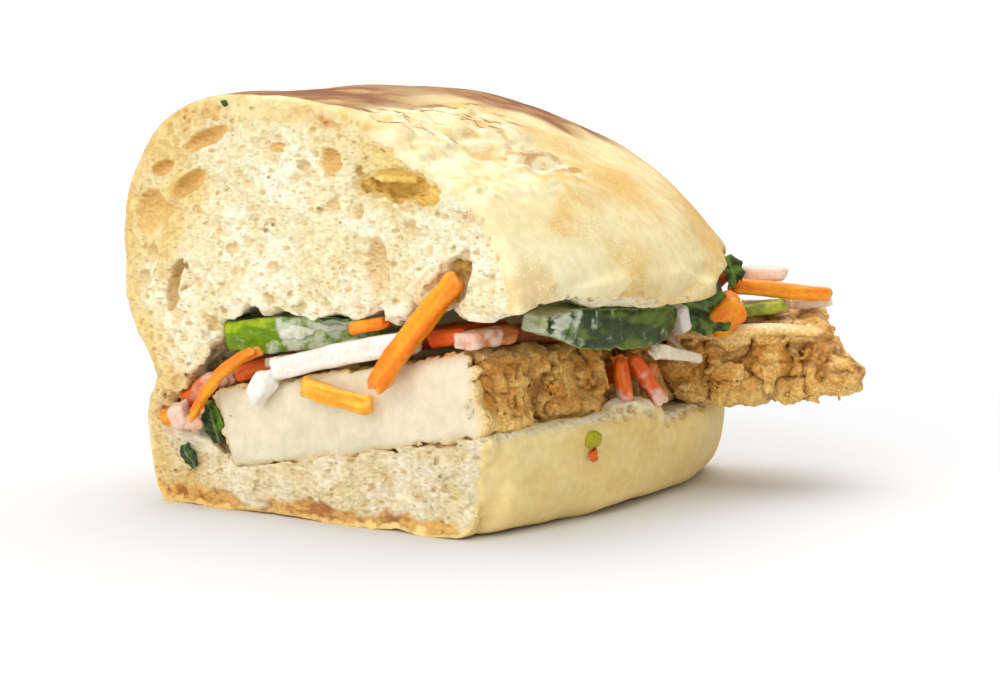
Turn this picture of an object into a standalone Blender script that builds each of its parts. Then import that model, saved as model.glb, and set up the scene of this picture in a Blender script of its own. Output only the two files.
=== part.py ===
"""Half of a filled banh mi roll: one slit roll, two fried tofu slabs, cucumber, pickles and herbs.

Frame: +Z up, the roll stands on z = 0. X runs across the roll, from the hinge of the slit (-X) to
its open side (+X). Y runs along the roll, from the knife cut (-Y) to its baked end (+Y).
All lengths below are millimetres; MM turns them into Blender's metres.
"""

import math

import bmesh
import bpy
from mathutils import Matrix, Vector, noise

MM = 0.001

# --- roll -----------------------------------------------------------------------------------
CUT_Y = -50.0              # the knife cut that halved the roll
ROLL_MIDDLE_Y = -52.0      # widest station of the whole roll
HALF_LENGTH = 113.5        # from the middle to the baked end
RIM_HEIGHT = 43.0          # height of the widest line of the top
RIM_LEFT, RIM_RIGHT = -49.0, 51.0
TOP_RISE = 41.0            # ridge above the rim line
RIDGE_X = -16.0            # the ridge leans to the hinge side at the cut ...
RIDGE_SHIFT = 18.0         # ... and comes back to the middle at the baked end
LEFT_POWER = 2.5           # superellipse powers of the arch, left and right of the ridge
RIGHT_POWER = 2.0
RIGHT_POWER_END = 1.25     # the right flank grows flatter towards the baked end
PLAN_POWER = 4.9           # how blunt the end is seen from above, over the ridge, and below
TOP_POWER = 3.7
BASE_POWER = 8.0
SPLIT_HEIGHT = 30.0        # the end closes towards this height
WIDTH_SWELL = 0.116        # the roll is this much wider behind the cut, where the knife did
HEIGHT_SWELL = 0.026       # not press it
BASE_PRESS = 0.8           # flattened by its own weight
LOWER_OUTLINE = (          # from the left rim down, along the base and up to the right rim
    (-46.5, 36.5), (-42.5, 31.0), (-41.0, 26.0), (-42.8, 20.5), (-42.2, 13.0), (-40.5, 5.0),
    (-36.0, 0.0), (-18.0, 0.0), (0.0, 0.0), (18.0, 0.0), (36.0, 0.0), (41.0, 4.0),
    (43.0, 12.0), (43.5, 21.0), (47.5, 32.0),
)
AROUND, ALONG = 52, 30     # facets of the roll, round it and along the whole of it

# --- slash baked into the right flank ---------------------------------------------------------
SLASH_X, SLASH_DEPTH, SLASH_WIDTH = 30.0, 3.2, 5.5
SLASH_END_Y = 28.0

# --- slit that holds the filling ----------------------------------------------------------------
SLIT_RIGHT = 75.0          # past the open side
SLIT_BACK = 72.0           # past the baked end
HINGE_X = -39.0            # bread left standing at the hinge side
HINGE_TURN = 34.0          # the slit stops short of the hinge corner of the baked end
HINGE_HEIGHT = 19.0
SHELF_HEIGHT = 14.0        # floor left of the tofu's bed
BED_LEFT = -20.5
BED_HEIGHT = 7.9           # tofu's bed at its left end
REST_HEIGHT = 17.6         # under the second slab
TOFU_TILT = math.radians(10.6)
ROOF_HEIGHT = 43.0
ROOF_WAVE = 1.1            # torn, uneven crumb
LIP_RISE, END_RISE = 3.8, 6.0

# --- gas pockets of the crumb, and the notch where a carrot stick is pushed in ----------------------
# centre, half sizes, turn about Y in degrees
POCKETS = (
    ((21.5, -51.3, 66.0), (10.5, 10.0, 1.9), 6.0),
    ((-26.5, -50.7, 72.5), (4.8, 3.4, 1.7), -36.0),
    ((-33.9, -50.8, 66.4), (3.4, 3.3, 1.7), -48.0),
    ((-39.0, -50.6, 58.6), (3.7, 3.4, 2.2), -60.0),
    ((-31.5, -50.7, 47.0), (5.7, 3.0, 1.4), -68.0),
    ((-1.5, -50.9, 69.5), (3.8, 3.4, 2.4), -20.0),
    ((34.4, -51.2, 46.4), (10.0, 8.0, 5.0), -54.0),
)

# --- fried tofu -------------------------------------------------------------------------------------
FRONT_SLAB = dict(size=(62.5, 46.5, 15.6), corner=(-19.6, -50.0, 8.8), tilt=TOFU_TILT)
BACK_SLAB = dict(size=(59.0, 27.0, 12.8), depth=-3.0, start=19.5, height=18.6,
                 plan_turn=math.radians(36.0), lean=math.radians(9.0))


# ------------------------------------------------------------------------------------------ scene
def clear_scene():
    for obj in list(bpy.data.objects):
        bpy.data.objects.remove(obj, do_unlink=True)


def new_collection(name):
    collection = bpy.data.collections.new(name)
    bpy.context.scene.collection.children.link(collection)
    return collection


def material(name, colour, roughness):
    made = bpy.data.materials.new(name)
    made.use_nodes = True
    shader = made.node_tree.nodes["Principled BSDF"]
    shader.inputs["Base Color"].default_value = (*colour, 1.0)
    shader.inputs["Roughness"].default_value = roughness
    shader.inputs["Metallic"].default_value = 0.0
    return made


def add_object(name, shape, collection, finish=None, matrix=None):
    """A new object from a bmesh, which is in millimetres."""
    bmesh.ops.scale(shape, vec=(MM, MM, MM), verts=shape.verts)
    bmesh.ops.recalc_face_normals(shape, faces=shape.faces)
    mesh = bpy.data.meshes.new(name)
    shape.to_mesh(mesh)
    shape.free()
    mesh.shade_smooth()
    mesh.set_sharp_from_angle(angle=math.radians(40.0))
    obj = bpy.data.objects.new(name, mesh)
    collection.objects.link(obj)
    if finish:
        mesh.materials.append(finish)
    if matrix is not None:
        obj.matrix_world = matrix
    return obj


def cut(target, cutter):
    """Subtracts cutter, which is kept as a hidden guide."""
    cutter.hide_render = True
    cutter.display_type = "WIRE"
    boolean = target.modifiers.new("cut " + cutter.name, "BOOLEAN")
    boolean.operation = "DIFFERENCE"
    boolean.object = cutter


def round_edges(obj, width, segments=1):
    bevel = obj.modifiers.new("rounded edges", "BEVEL")
    bevel.width = width * MM
    bevel.segments = segments
    bevel.limit_method = "ANGLE"
    bevel.angle_limit = math.radians(50.0)


# ------------------------------------------------------------------------------------------ maths
def clamp(value, low=0.0, high=1.0):
    return max(low, min(high, value))


def smooth_step(low, high, value):
    t = clamp((value - low) / (high - low))
    return t * t * (3.0 - 2.0 * t)


def closing(share, power):
    """1 in the middle of the roll, falling to 0 at its end."""
    return max(0.0, 1.0 - share ** power) ** (1.0 / power)


def spline_point(points, place):
    """A point at place (0..1) on the open Catmull-Rom curve through the points."""
    spans = len(points) - 1
    span = min(int(place * spans), spans - 1)
    t = place * spans - span
    a, b = points[max(span - 1, 0)], points[span]
    c, d = points[span + 1], points[min(span + 2, spans)]
    return tuple(
        0.5 * (2.0 * q + (r - p) * t + (2.0 * p - 5.0 * q + 4.0 * r - s) * t * t
               + (3.0 * q - p - 3.0 * r + s) * t ** 3)
        for p, q, r, s in zip(a, b, c, d)
    )


def wobble(x, y, size, seed):
    return noise.noise(Vector((x / size, y / size, seed)))


# ------------------------------------------------------------------------------------------- roll
def section_point(angle, share):
    """The roll's outline across its length: x, z for an angle anticlockwise from the right rim."""
    ridge = RIDGE_X + RIDGE_SHIFT * share
    if angle <= math.pi:
        right = angle < math.pi / 2.0
        power = RIGHT_POWER + (RIGHT_POWER_END - RIGHT_POWER) * share if right else LEFT_POWER
        reach = (RIM_RIGHT - ridge) if right else (ridge - RIM_LEFT)
        across = math.copysign(abs(math.cos(angle)) ** (2.0 / power), math.cos(angle))
        return ridge + reach * across, RIM_HEIGHT + TOP_RISE * math.sin(angle) ** (2.0 / power)
    outline = ((RIM_LEFT, RIM_HEIGHT), *LOWER_OUTLINE, (RIM_RIGHT, RIM_HEIGHT))
    return spline_point(outline, (angle - math.pi) / math.pi)


def slash_depth(x, y, z):
    """How far the baked slash sinks the right flank at a point."""
    if z < 50.0:
        return 0.0
    across = math.exp(-((x - SLASH_X) / SLASH_WIDTH) ** 2)
    return SLASH_DEPTH * across * (1.0 - smooth_step(SLASH_END_Y - 35.0, SLASH_END_Y, y))


def roll_point(direction):
    """Moves a point of the unit sphere, whose poles are the roll's ends, onto the roll."""
    pole = math.asin(clamp(direction.z, -1.0, 1.0)) / (math.pi / 2.0)
    share = 1.0 - (1.0 - abs(pole)) ** 2
    angle = math.atan2(direction.y, direction.x) % (2.0 * math.pi)
    x, z = section_point(angle, share)
    swell = math.sin(math.pi * min(1.0, 1.2 * share))
    x *= closing(share, PLAN_POWER) * (1.0 + WIDTH_SWELL * swell)
    rise = z - SPLIT_HEIGHT
    if rise > 0.0:
        rise *= closing(share, TOP_POWER) * (1.0 + HEIGHT_SWELL * swell)
    else:
        rise *= closing(share, BASE_POWER)
    z = SPLIT_HEIGHT + rise
    y = ROLL_MIDDLE_Y + math.copysign(share, pole) * HALF_LENGTH
    z -= slash_depth(x, y, z)
    return Vector((x, y, max(0.0, z - BASE_PRESS)))


def hinge_line(y):
    """Left edge of the slit: it follows the hinge side, then turns in round the baked end."""
    return HINGE_X + HINGE_TURN * smooth_step(24.0, 66.0, y)


def slit_floor(x, y):
    """The tofu's tilted bed, with a shelf on its left and a level rest for the second slab."""
    bed = BED_HEIGHT + math.tan(TOFU_TILT) * (x - BED_LEFT)
    behind = smooth_step(-4.0, 8.0, y)
    bed += behind * (REST_HEIGHT - bed) * smooth_step(-10.0, 20.0, x)
    floor = SHELF_HEIGHT + (bed - SHELF_HEIGHT) * smooth_step(BED_LEFT - 9.0, BED_LEFT - 2.5, x)
    near_hinge = 1.0 - smooth_step(0.0, 9.0, x - hinge_line(y))
    return floor + (HINGE_HEIGHT - 2.5 - floor) * near_hinge


def slit_roof(x, y):
    """The torn underside of the top, highest where the lip rides over the filling."""
    opened = smooth_step(0.0, 21.0 + 14.0 * smooth_step(20.0, 50.0, y), x - hinge_line(y)) ** 0.8
    lip = LIP_RISE * math.exp(-((y + 36.0) / 20.0) ** 2) + END_RISE * smooth_step(10.0, 32.0, y)
    roof = ROOF_HEIGHT + lip * smooth_step(16.0, 40.0, x)
    roof += ROOF_WAVE * (wobble(x, y, 7.0, 3.1) + 0.8 * wobble(x, y, 3.6, 8.4))
    return HINGE_HEIGHT + 3.0 + (roof - HINGE_HEIGHT - 3.0) * opened


def slit_cutter(collection):
    """A wedge open to the cut, to the right side and round part of the baked end."""
    across, along = 19, 22
    shape = bmesh.new()
    bmesh.ops.create_grid(shape, x_segments=across, y_segments=along, size=1.0)
    lower = list(shape.verts)
    lifted = bmesh.ops.extrude_face_region(shape, geom=list(shape.faces))
    upper = [v for v in lifted["geom"] if isinstance(v, bmesh.types.BMVert)]
    for vertices, height in ((lower, slit_floor), (upper, slit_roof)):
        for vertex in vertices:
            y = (CUT_Y - 6.0) + (SLIT_BACK - CUT_Y + 6.0) * (vertex.co.y + 1.0) / 2.0
            left = hinge_line(y)
            x = left + (SLIT_RIGHT - left) * ((vertex.co.x + 1.0) / 2.0) ** 1.25
            vertex.co = Vector((x, y, height(x, y)))
    return add_object("slit cutter", shape, collection)


def end_cutter(collection):
    """The half of the roll in front of the knife cut."""
    shape = bmesh.new()
    bmesh.ops.create_cube(shape, size=1.0)
    bmesh.ops.scale(shape, vec=(160.0, 120.0, 160.0), verts=shape.verts)
    bmesh.ops.translate(shape, vec=(0.0, CUT_Y - 60.0, 40.0), verts=shape.verts)
    return add_object("end cutter", shape, collection)


def pocket_cutter(collection):
    """Ellipsoids, clear of each other, where the crumb's large holes meet the knife cut."""
    shape = bmesh.new()
    for centre, half, turn in POCKETS:
        made = bmesh.ops.create_icosphere(shape, subdivisions=2, radius=1.0)["verts"]
        bmesh.ops.scale(shape, vec=half, verts=made)
        bmesh.ops.rotate(shape, matrix=Matrix.Rotation(math.radians(turn), 3, "Y"), verts=made)
        bmesh.ops.translate(shape, vec=centre, verts=made)
    return add_object("pocket cutter", shape, collection)


def make_roll(parts, cutters):
    shape = bmesh.new()
    bmesh.ops.create_uvsphere(shape, u_segments=AROUND, v_segments=ALONG, radius=1.0)
    for vertex in shape.verts:
        vertex.co = roll_point(vertex.co.normalized())
    roll = add_object("bread", shape, parts, material("bread", (0.86, 0.70, 0.40), 0.6))
    cut(roll, end_cutter(cutters))
    cut(roll, pocket_cutter(cutters))
    cut(roll, slit_cutter(cutters))
    return roll


# ------------------------------------------------------------------------------------------- tofu
def slab_shape(size, cuts, roughness, seed):
    """A hand-cut slab with its lower left front corner at the origin and uneven fried faces."""
    shape = bmesh.new()
    bmesh.ops.create_cube(shape, size=1.0)
    for axis, count in enumerate(cuts):
        edges = [
            e for e in shape.edges
            if abs(abs((e.verts[0].co - e.verts[1].co).normalized()[axis]) - 1.0) < 0.01
        ]
        bmesh.ops.subdivide_edges(shape, edges=edges, cuts=count, use_grid_fill=True)
    for vertex in shape.verts:
        unit = vertex.co + Vector((0.5, 0.5, 0.5))
        place = Vector([u * s for u, s in zip(unit, size)])
        bump = noise.noise_vector(place / 6.0 + Vector((seed, 0.0, 0.0))) * roughness
        if unit.y < 0.001:
            bump = Vector((bump.x * 0.3, 0.0, bump.z * 0.3))
        vertex.co = place + bump
    return shape


def make_front_slab(parts, finish):
    size, corner, tilt = FRONT_SLAB["size"], FRONT_SLAB["corner"], FRONT_SLAB["tilt"]
    shape = slab_shape(size, (9, 6, 2), 0.9, 2.0)
    for vertex in shape.verts:
        back = vertex.co.y / size[1]
        vertex.co.z -= 2.4 * back ** 2 * vertex.co.z / size[2]
        vertex.co.x -= 1.8 * vertex.co.z / size[2] * (1.0 - vertex.co.x / size[0])
        corner_round = smooth_step(0.8, 1.0, back) * smooth_step(0.8, 1.0, vertex.co.x / size[0])
        vertex.co.y -= 3.5 * corner_round
    matrix = Matrix.Translation(Vector(corner) * MM) @ Matrix.Rotation(-tilt, 4, "Y")
    slab = add_object("tofu_front", shape, parts, finish, matrix)
    round_edges(slab, 1.0)


def make_back_slab(parts, finish):
    """The second slab lies turned in plan and sticks out of the open side."""
    size, turn = BACK_SLAB["size"], BACK_SLAB["plan_turn"]
    shape = slab_shape(size, (9, 5, 2), 1.1, 5.0)
    for vertex in shape.verts:
        along = vertex.co.x / size[0]
        vertex.co.z += 2.5 * along ** 2 * vertex.co.z / size[2]
        low_flap = smooth_step(0.86, 1.0, along) * (1.0 - vertex.co.y / size[1])
        vertex.co.x += 6.0 * low_flap * (1.0 - vertex.co.z / size[2])
        vertex.co.z += 1.8 * low_flap
    along_x, deep = math.cos(turn), math.sin(turn)
    corner = Vector((
        BACK_SLAB["start"] * along_x - BACK_SLAB["depth"] * deep,
        BACK_SLAB["start"] * deep + BACK_SLAB["depth"] * along_x,
        BACK_SLAB["height"],
    ))
    matrix = (Matrix.Translation(corner * MM) @ Matrix.Rotation(turn, 4, "Z")
              @ Matrix.Rotation(BACK_SLAB["lean"], 4, "X"))
    slab = add_object("tofu_back", shape, parts, finish, matrix)
    round_edges(slab, 1.0)


# --------------------------------------------------------------------------------------- cucumber
def make_spear(name, start, end, thickness, depth, skin_side, droop, parts, finish):
    """A strip cut along a cucumber: a skin arc outside, flat faces above, below and inside.

    skin_side is the direction its skin faces."""
    start, end = Vector(start), Vector(end)
    length, radius = (end - start).length, 17.0
    shape = bmesh.new()
    bmesh.ops.create_cone(shape, cap_ends=True, segments=36, radius1=radius, radius2=radius,
                          depth=length)
    long_edges = [e for e in shape.edges if abs(e.verts[0].co.z - e.verts[1].co.z) > 1.0]
    bmesh.ops.subdivide_edges(shape, edges=long_edges, cuts=6)
    planes = (
        (Vector((radius - depth, 0.0, 0.0)), Vector((-1.0, 0.0, 0.0))),
        (Vector((0.0, thickness / 2.0, 0.0)), Vector((0.0, 1.0, 0.0))),
        (Vector((0.0, -thickness / 2.0, 0.0)), Vector((0.0, -1.0, 0.0))),
    )
    for point, normal in planes:
        geometry = [*shape.verts, *shape.edges, *shape.faces]
        bmesh.ops.bisect_plane(shape, geom=geometry, plane_co=point, plane_no=normal,
                               clear_outer=True, dist=1e-5)
        open_edges = [e for e in shape.edges if e.is_boundary]
        bmesh.ops.holes_fill(shape, edges=open_edges)
    for vertex in shape.verts:
        place = vertex.co.z / length
        ends = math.sqrt(max(0.0, 1.0 - 0.9 * (2.0 * abs(place)) ** 10))
        vertex.co.x = (vertex.co.x - radius + depth / 2.0) - 2.0 * (1.0 - ends)
        vertex.co.y *= 0.72 + 0.28 * ends
        vertex.co.y -= droop * (2.0 * place) ** 2
    axis = (end - start).normalized()
    skin = Vector(skin_side)
    skin = (skin - axis * skin.dot(axis)).normalized()
    up = axis.cross(skin)
    frame = Matrix((skin, up, axis)).transposed().to_4x4()
    matrix = Matrix.Translation((start + end) / 2.0 * MM) @ frame
    spear = add_object(name, shape, parts, finish, matrix)
    round_edges(spear, 0.5)


# ---------------------------------------------------------------------------------------- pickles
def make_stick(name, start, end, width, thickness, parts, finish, roll=0.0, bend=0.0, taper=1.0):
    """A cut stick from start to end. bend is its sag at the middle, taper its end's share."""
    start, end = Vector(start), Vector(end)
    length = (end - start).length
    segments = max(2, min(6, round(length / 6.0)))
    shape = bmesh.new()
    bmesh.ops.create_cube(shape, size=1.0)
    long_edges = [e for e in shape.edges if abs(e.verts[0].co.x - e.verts[1].co.x) > 0.5]
    bmesh.ops.subdivide_edges(shape, edges=long_edges, cuts=segments - 1)
    for vertex in shape.verts:
        place = vertex.co.x + 0.5
        share = 1.0 + (taper - 1.0) * place
        vertex.co.y *= width * share
        vertex.co.z *= thickness * (0.5 + 0.5 * share)
        vertex.co.z -= bend * 4.0 * place * (1.0 - place)
        skew = 0.12 * width * math.copysign(1.0, place - 0.5) * (1.0 if place in (0.0, 1.0) else 0.0)
        vertex.co.x = vertex.co.x * length + skew * math.copysign(1.0, vertex.co.y)
    direction = (end - start).normalized()
    turn = direction.to_track_quat("X", "Z").to_matrix().to_4x4()
    matrix = (Matrix.Translation((start + end) / 2.0 * MM) @ turn
              @ Matrix.Rotation(math.radians(roll), 4, "X"))
    stick = add_object(name, shape, parts, finish, matrix)
    round_edges(stick, 0.16 * min(width, thickness) * taper ** 0.5)


# start, end, width, thickness, then roll in degrees, sag and taper where they matter
CARROTS = (
    dict(start=(37.2, -48.8, 50.2), end=(22.0, -54.8, 29.0), width=5.2, thickness=4.2, bend=-0.8),
    dict(start=(-10.2, -52.6, 33.8), end=(-27.8, -52.6, 18.6), width=3.6, thickness=2.4, bend=-2.0,
         taper=0.6),
    dict(start=(-35.2, -45.6, 20.6), end=(-26.4, -45.0, 26.4), width=5.6, thickness=3.8),
    dict(start=(-38.0, -49.6, 18.5), end=(-34.7, -50.9, 16.6), width=3.2, thickness=2.6, taper=0.6),
    dict(start=(2.0, -53.0, 27.6), end=(19.2, -53.4, 24.9), width=2.2, thickness=4.0, bend=0.5,
         taper=0.75),
    dict(start=(10.4, -48.4, 38.7), end=(18.4, -46.6, 40.6), width=4.0, thickness=2.6),
    dict(start=(-13.0, -46.6, 30.2), end=(3.8, -45.0, 32.9), width=3.0, thickness=2.2),
    dict(start=(-24.2, -43.6, 26.6), end=(-15.6, -40.0, 29.4), width=4.6, thickness=3.4),
    dict(start=(39.6, -50.2, 38.2), end=(38.6, -34.4, 38.4), width=5.2, thickness=3.4, bend=-0.3),
    dict(start=(31.6, -29.0, 37.0), end=(30.4, -9.0, 35.6), width=5.4, thickness=3.6),
    dict(start=(28.0, -45.8, 37.6), end=(35.6, -45.0, 38.6), width=3.6, thickness=3.0),
    dict(start=(43.8, -4.2, 31.2), end=(44.8, -2.8, 21.8), width=3.2, thickness=2.8, taper=0.8),
    dict(start=(43.2, 0.2, 31.2), end=(46.8, 7.0, 21.0), width=3.6, thickness=3.0),
    dict(start=(46.4, 25.6, 34.6), end=(51.4, 29.8, 40.4), width=6.2, thickness=6.2, roll=20.0),
    dict(start=(44.0, 39.0, 42.6), end=(61.4, 51.0, 40.6), width=4.8, thickness=3.2, taper=0.8),
    dict(start=(36.8, 38.6, 40.4), end=(40.8, 42.8, 45.6), width=3.4, thickness=3.0),
    dict(start=(15.6, -40.0, 35.0), end=(26.0, -18.0, 36.8), width=5.0, thickness=3.6, bend=-1.0),
    dict(start=(14.0, 4.0, 25.4), end=(43.0, 10.6, 27.4), width=4.4, thickness=3.4, bend=1.0),
)
DAIKONS = (
    dict(start=(-7.6, -51.0, 29.5), end=(25.2, -47.4, 37.0), width=4.8, thickness=4.4, bend=-0.5),
    dict(start=(-12.2, -52.8, 23.4), end=(-7.8, -53.0, 26.9), width=4.2, thickness=3.4),
    dict(start=(5.4, -45.1, 34.6), end=(10.0, -44.6, 35.6), width=2.6, thickness=2.6),
    dict(start=(38.2, -20.0, 38.6), end=(38.8, -5.6, 36.6), width=5.0, thickness=3.0),
    dict(start=(48.0, 4.0, 32.0), end=(47.8, 20.4, 29.0), width=4.6, thickness=3.0, taper=0.45),
    dict(start=(46.4, 13.2, 40.4), end=(46.8, 15.2, 34.6), width=4.0, thickness=3.2),
    dict(start=(44.2, 43.2, 37.4), end=(53.4, 46.8, 38.1), width=4.6, thickness=3.2),
    dict(start=(43.0, 45.6, 44.6), end=(50.6, 50.6, 44.6), width=5.0, thickness=3.2, taper=0.8),
    dict(start=(53.0, 50.0, 38.2), end=(59.6, 54.6, 39.1), width=3.6, thickness=2.2),
    dict(start=(-32.6, -52.2, 21.0), end=(-30.8, -51.6, 15.8), width=5.0, thickness=4.2, taper=0.8),
    dict(start=(39.6, 20.2, 33.4), end=(45.2, 22.6, 28.0), width=2.4, thickness=1.2),
    dict(start=(-4.0, -33.0, 33.0), end=(24.0, -4.0, 35.4), width=4.6, thickness=3.8),
    dict(start=(20.0, 34.0, 40.2), end=(30.0, 56.0, 41.6), width=4.6, thickness=3.8, bend=-0.8),
)
GREEN_STICK = dict(start=(47.4, 36.4, 37.2), end=(55.4, 42.4, 38.8), width=3.6, thickness=2.6)


# ------------------------------------------------------------------------------------------ herbs
def make_leaf(name, centre, size, curl, turn, parts, finish):
    """A folded herb leaf: a pointed, scalloped outline, creased along its middle vein.

    curl is the lift of its sides; turn is its rotation about X, Y and Z in degrees."""
    shape = bmesh.new()
    bmesh.ops.create_grid(shape, x_segments=6, y_segments=4, size=0.5)
    for vertex in shape.verts:
        along = vertex.co.x + 0.5
        outline = math.sin(math.pi * (0.12 + 0.76 * along)) ** 0.8
        scallop = 1.0 + 0.12 * math.cos(6.0 * math.pi * along)
        side = vertex.co.y * outline * scallop
        lift = curl * abs(2.0 * side) + 0.25 * curl * math.sin(2.0 * math.pi * along)
        vertex.co = Vector((vertex.co.x * size[0], side * size[1], lift))
    tilt = [math.radians(a) for a in turn]
    matrix = Matrix.Translation(Vector(centre) * MM)
    for angle, axis in zip(reversed(tilt), "ZYX"):
        matrix = matrix @ Matrix.Rotation(angle, 4, axis)
    leaf = add_object(name, shape, parts, finish, matrix)
    shell = leaf.modifiers.new("leaf thickness", "SOLIDIFY")
    shell.thickness = 0.7 * MM
    shell.offset = 0.0


LEAVES = (
    dict(centre=(41.2, 30.2, 39.4), size=(12.0, 8.0), curl=2.0, turn=(70.0, 18.0, 60.0)),
    dict(centre=(-25.8, -48.4, 17.6), size=(9.0, 5.0), curl=1.0, turn=(80.0, 75.0, 10.0)),
    dict(centre=(6.0, -46.8, 40.4), size=(10.0, 5.0), curl=0.5, turn=(12.0, -4.0, 6.0)),
    dict(centre=(-30.2, -50.9, 10.4), size=(5.4, 4.0), curl=0.6, turn=(90.0, 60.0, 0.0)),
    dict(centre=(45.7, 36.2, 46.0), size=(6.4, 4.4), curl=1.0, turn=(80.0, 70.0, 40.0)),
    dict(centre=(23.4, -46.0, 40.6), size=(7.0, 2.2), curl=0.4, turn=(60.0, 30.0, 6.0)),
)


def main():
    clear_scene()
    parts = new_collection("banh_mi_half")
    cutters = new_collection("cutters")
    make_roll(parts, cutters)

    fried = material("fried tofu", (0.62, 0.40, 0.16), 0.6)
    make_front_slab(parts, fried)
    make_back_slab(parts, fried)

    peel = material("cucumber", (0.12, 0.30, 0.04), 0.35)
    make_spear("cucumber_front", (-23.4, -45.4, 34.9), (12.0, -38.0, 38.6), 7.4, 8.6,
               (-0.1, -1.0, -0.1), 0.4, parts, peel)
    make_spear("cucumber_side", (47.0, -36.6, 40.0), (47.6, 9.0, 36.6), 8.2, 6.6,
               (1.0, 0.0, -0.1), 0.8, parts, peel)

    orange = material("carrot", (0.90, 0.28, 0.03), 0.4)
    for number, stick in enumerate(CARROTS, 1):
        make_stick(f"carrot_stick_{number:02d}", parts=parts, finish=orange, **stick)
    white = material("daikon", (0.90, 0.88, 0.80), 0.4)
    for number, stick in enumerate(DAIKONS, 1):
        make_stick(f"daikon_stick_{number:02d}", parts=parts, finish=white, **stick)
    green = material("green stick", (0.35, 0.45, 0.05), 0.4)
    make_stick("green_stick", parts=parts, finish=green, **GREEN_STICK)

    herb = material("herb", (0.05, 0.14, 0.02), 0.45)
    for number, leaf in enumerate(LEAVES, 1):
        make_leaf(f"herb_leaf_{number:02d}", parts=parts, finish=herb, **leaf)


main()
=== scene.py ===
"""Looks of the banh mi half: airy crumb, blistered crust, fried tofu, cucumber, pickles, herbs.

Every soft surface is grown from its CAD solid. The solid becomes a field of signed distances on a
grid; relief, pores and torn edges are added to the field; a fine mesh is drawn from it again.
Lengths in this script are millimetres in the CAD's frame; MM turns them into Blender's metres.
"""

import math

import bmesh
import bpy
import numpy as np
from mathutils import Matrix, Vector
from mathutils.bvhtree import BVHTree


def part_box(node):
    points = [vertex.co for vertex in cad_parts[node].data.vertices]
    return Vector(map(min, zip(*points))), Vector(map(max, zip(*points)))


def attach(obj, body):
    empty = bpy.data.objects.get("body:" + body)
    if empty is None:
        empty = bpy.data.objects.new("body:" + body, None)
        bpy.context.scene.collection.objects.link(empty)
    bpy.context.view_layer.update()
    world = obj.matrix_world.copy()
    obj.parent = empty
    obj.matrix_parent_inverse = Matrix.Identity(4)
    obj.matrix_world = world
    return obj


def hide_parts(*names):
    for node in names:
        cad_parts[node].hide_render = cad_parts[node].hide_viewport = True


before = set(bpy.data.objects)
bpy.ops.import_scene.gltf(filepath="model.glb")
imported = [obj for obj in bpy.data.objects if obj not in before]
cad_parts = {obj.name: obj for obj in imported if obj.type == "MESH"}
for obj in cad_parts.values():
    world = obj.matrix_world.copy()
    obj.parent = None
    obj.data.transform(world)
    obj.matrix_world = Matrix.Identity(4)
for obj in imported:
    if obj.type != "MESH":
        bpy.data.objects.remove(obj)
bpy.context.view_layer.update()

MM = 0.001
NODES = sorted(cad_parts)


# ------------------------------------------------------------------------------------------ maths
def smooth(low, high, value):
    """0 below low, 1 above high, smooth between; low may be the larger."""
    t = np.clip((value - low) / (high - low), 0.0, 1.0)
    return t * t * (3.0 - 2.0 * t)


def unit(v):
    return v / np.maximum(np.linalg.norm(v, axis=-1, keepdims=True), 1e-9)


def turned(angle, axis):
    """Rotation matrix, angle in degrees about a named axis."""
    a = math.radians(angle)
    c, s = math.cos(a), math.sin(a)
    i, j = {"X": (1, 2), "Y": (2, 0), "Z": (0, 1)}[axis]
    m = np.eye(3)
    m[i, i], m[i, j], m[j, i], m[j, j] = c, -s, s, c
    return m


def tone(red, green, blue):
    """A linear colour from the usual 0-255 display values."""
    share = np.array([red, green, blue]) / 255.0
    return np.where(share > 0.04045, ((share + 0.055) / 1.055) ** 2.4, share / 12.92)


def blend(colour_a, colour_b, share):
    share = np.asarray(share)[..., None]
    return colour_a * (1.0 - share) + colour_b * share


# ------------------------------------------------------------------------------------------ noise
TABLE = 32


def noise(points, size, seed):
    """Smooth noise, about -1 to 1, with features of the given size; size may differ by axis."""
    table = np.random.default_rng(seed).uniform(-1.0, 1.0, TABLE ** 3).astype(np.float32)
    p = (points / np.asarray(size, float)).astype(np.float32) + np.float32(7.3 * (seed % 13))
    cell = np.floor(p).astype(np.int32)
    f = p - cell
    f = f * f * f * (f * (f * 6.0 - 15.0) + 10.0)
    low, high = cell % TABLE, (cell + 1) % TABLE
    x = (low[:, 0] * TABLE * TABLE, high[:, 0] * TABLE * TABLE)
    y = (low[:, 1] * TABLE, high[:, 1] * TABLE)
    z = (low[:, 2], high[:, 2])
    wx, wy, wz = ((1.0 - f[:, k], f[:, k]) for k in range(3))
    total = np.zeros(len(p), np.float32)
    for i in (0, 1):
        for j in (0, 1):
            pair = table[x[i] + y[j] + z[0]] * wz[0] + table[x[i] + y[j] + z[1]] * wz[1]
            total += wx[i] * wy[j] * pair
    return total * 1.6


def layered(points, size, seed, octaves=3, fade=0.5):
    """Noise summed over octaves, each half the size of the last."""
    total, weight, norm = 0.0, 1.0, 0.0
    for octave in range(octaves):
        total = total + weight * noise(points, np.asarray(size) / 2.0 ** octave, seed + 17 * octave)
        norm += weight ** 2
        weight *= fade
    return total / math.sqrt(norm)


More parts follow.
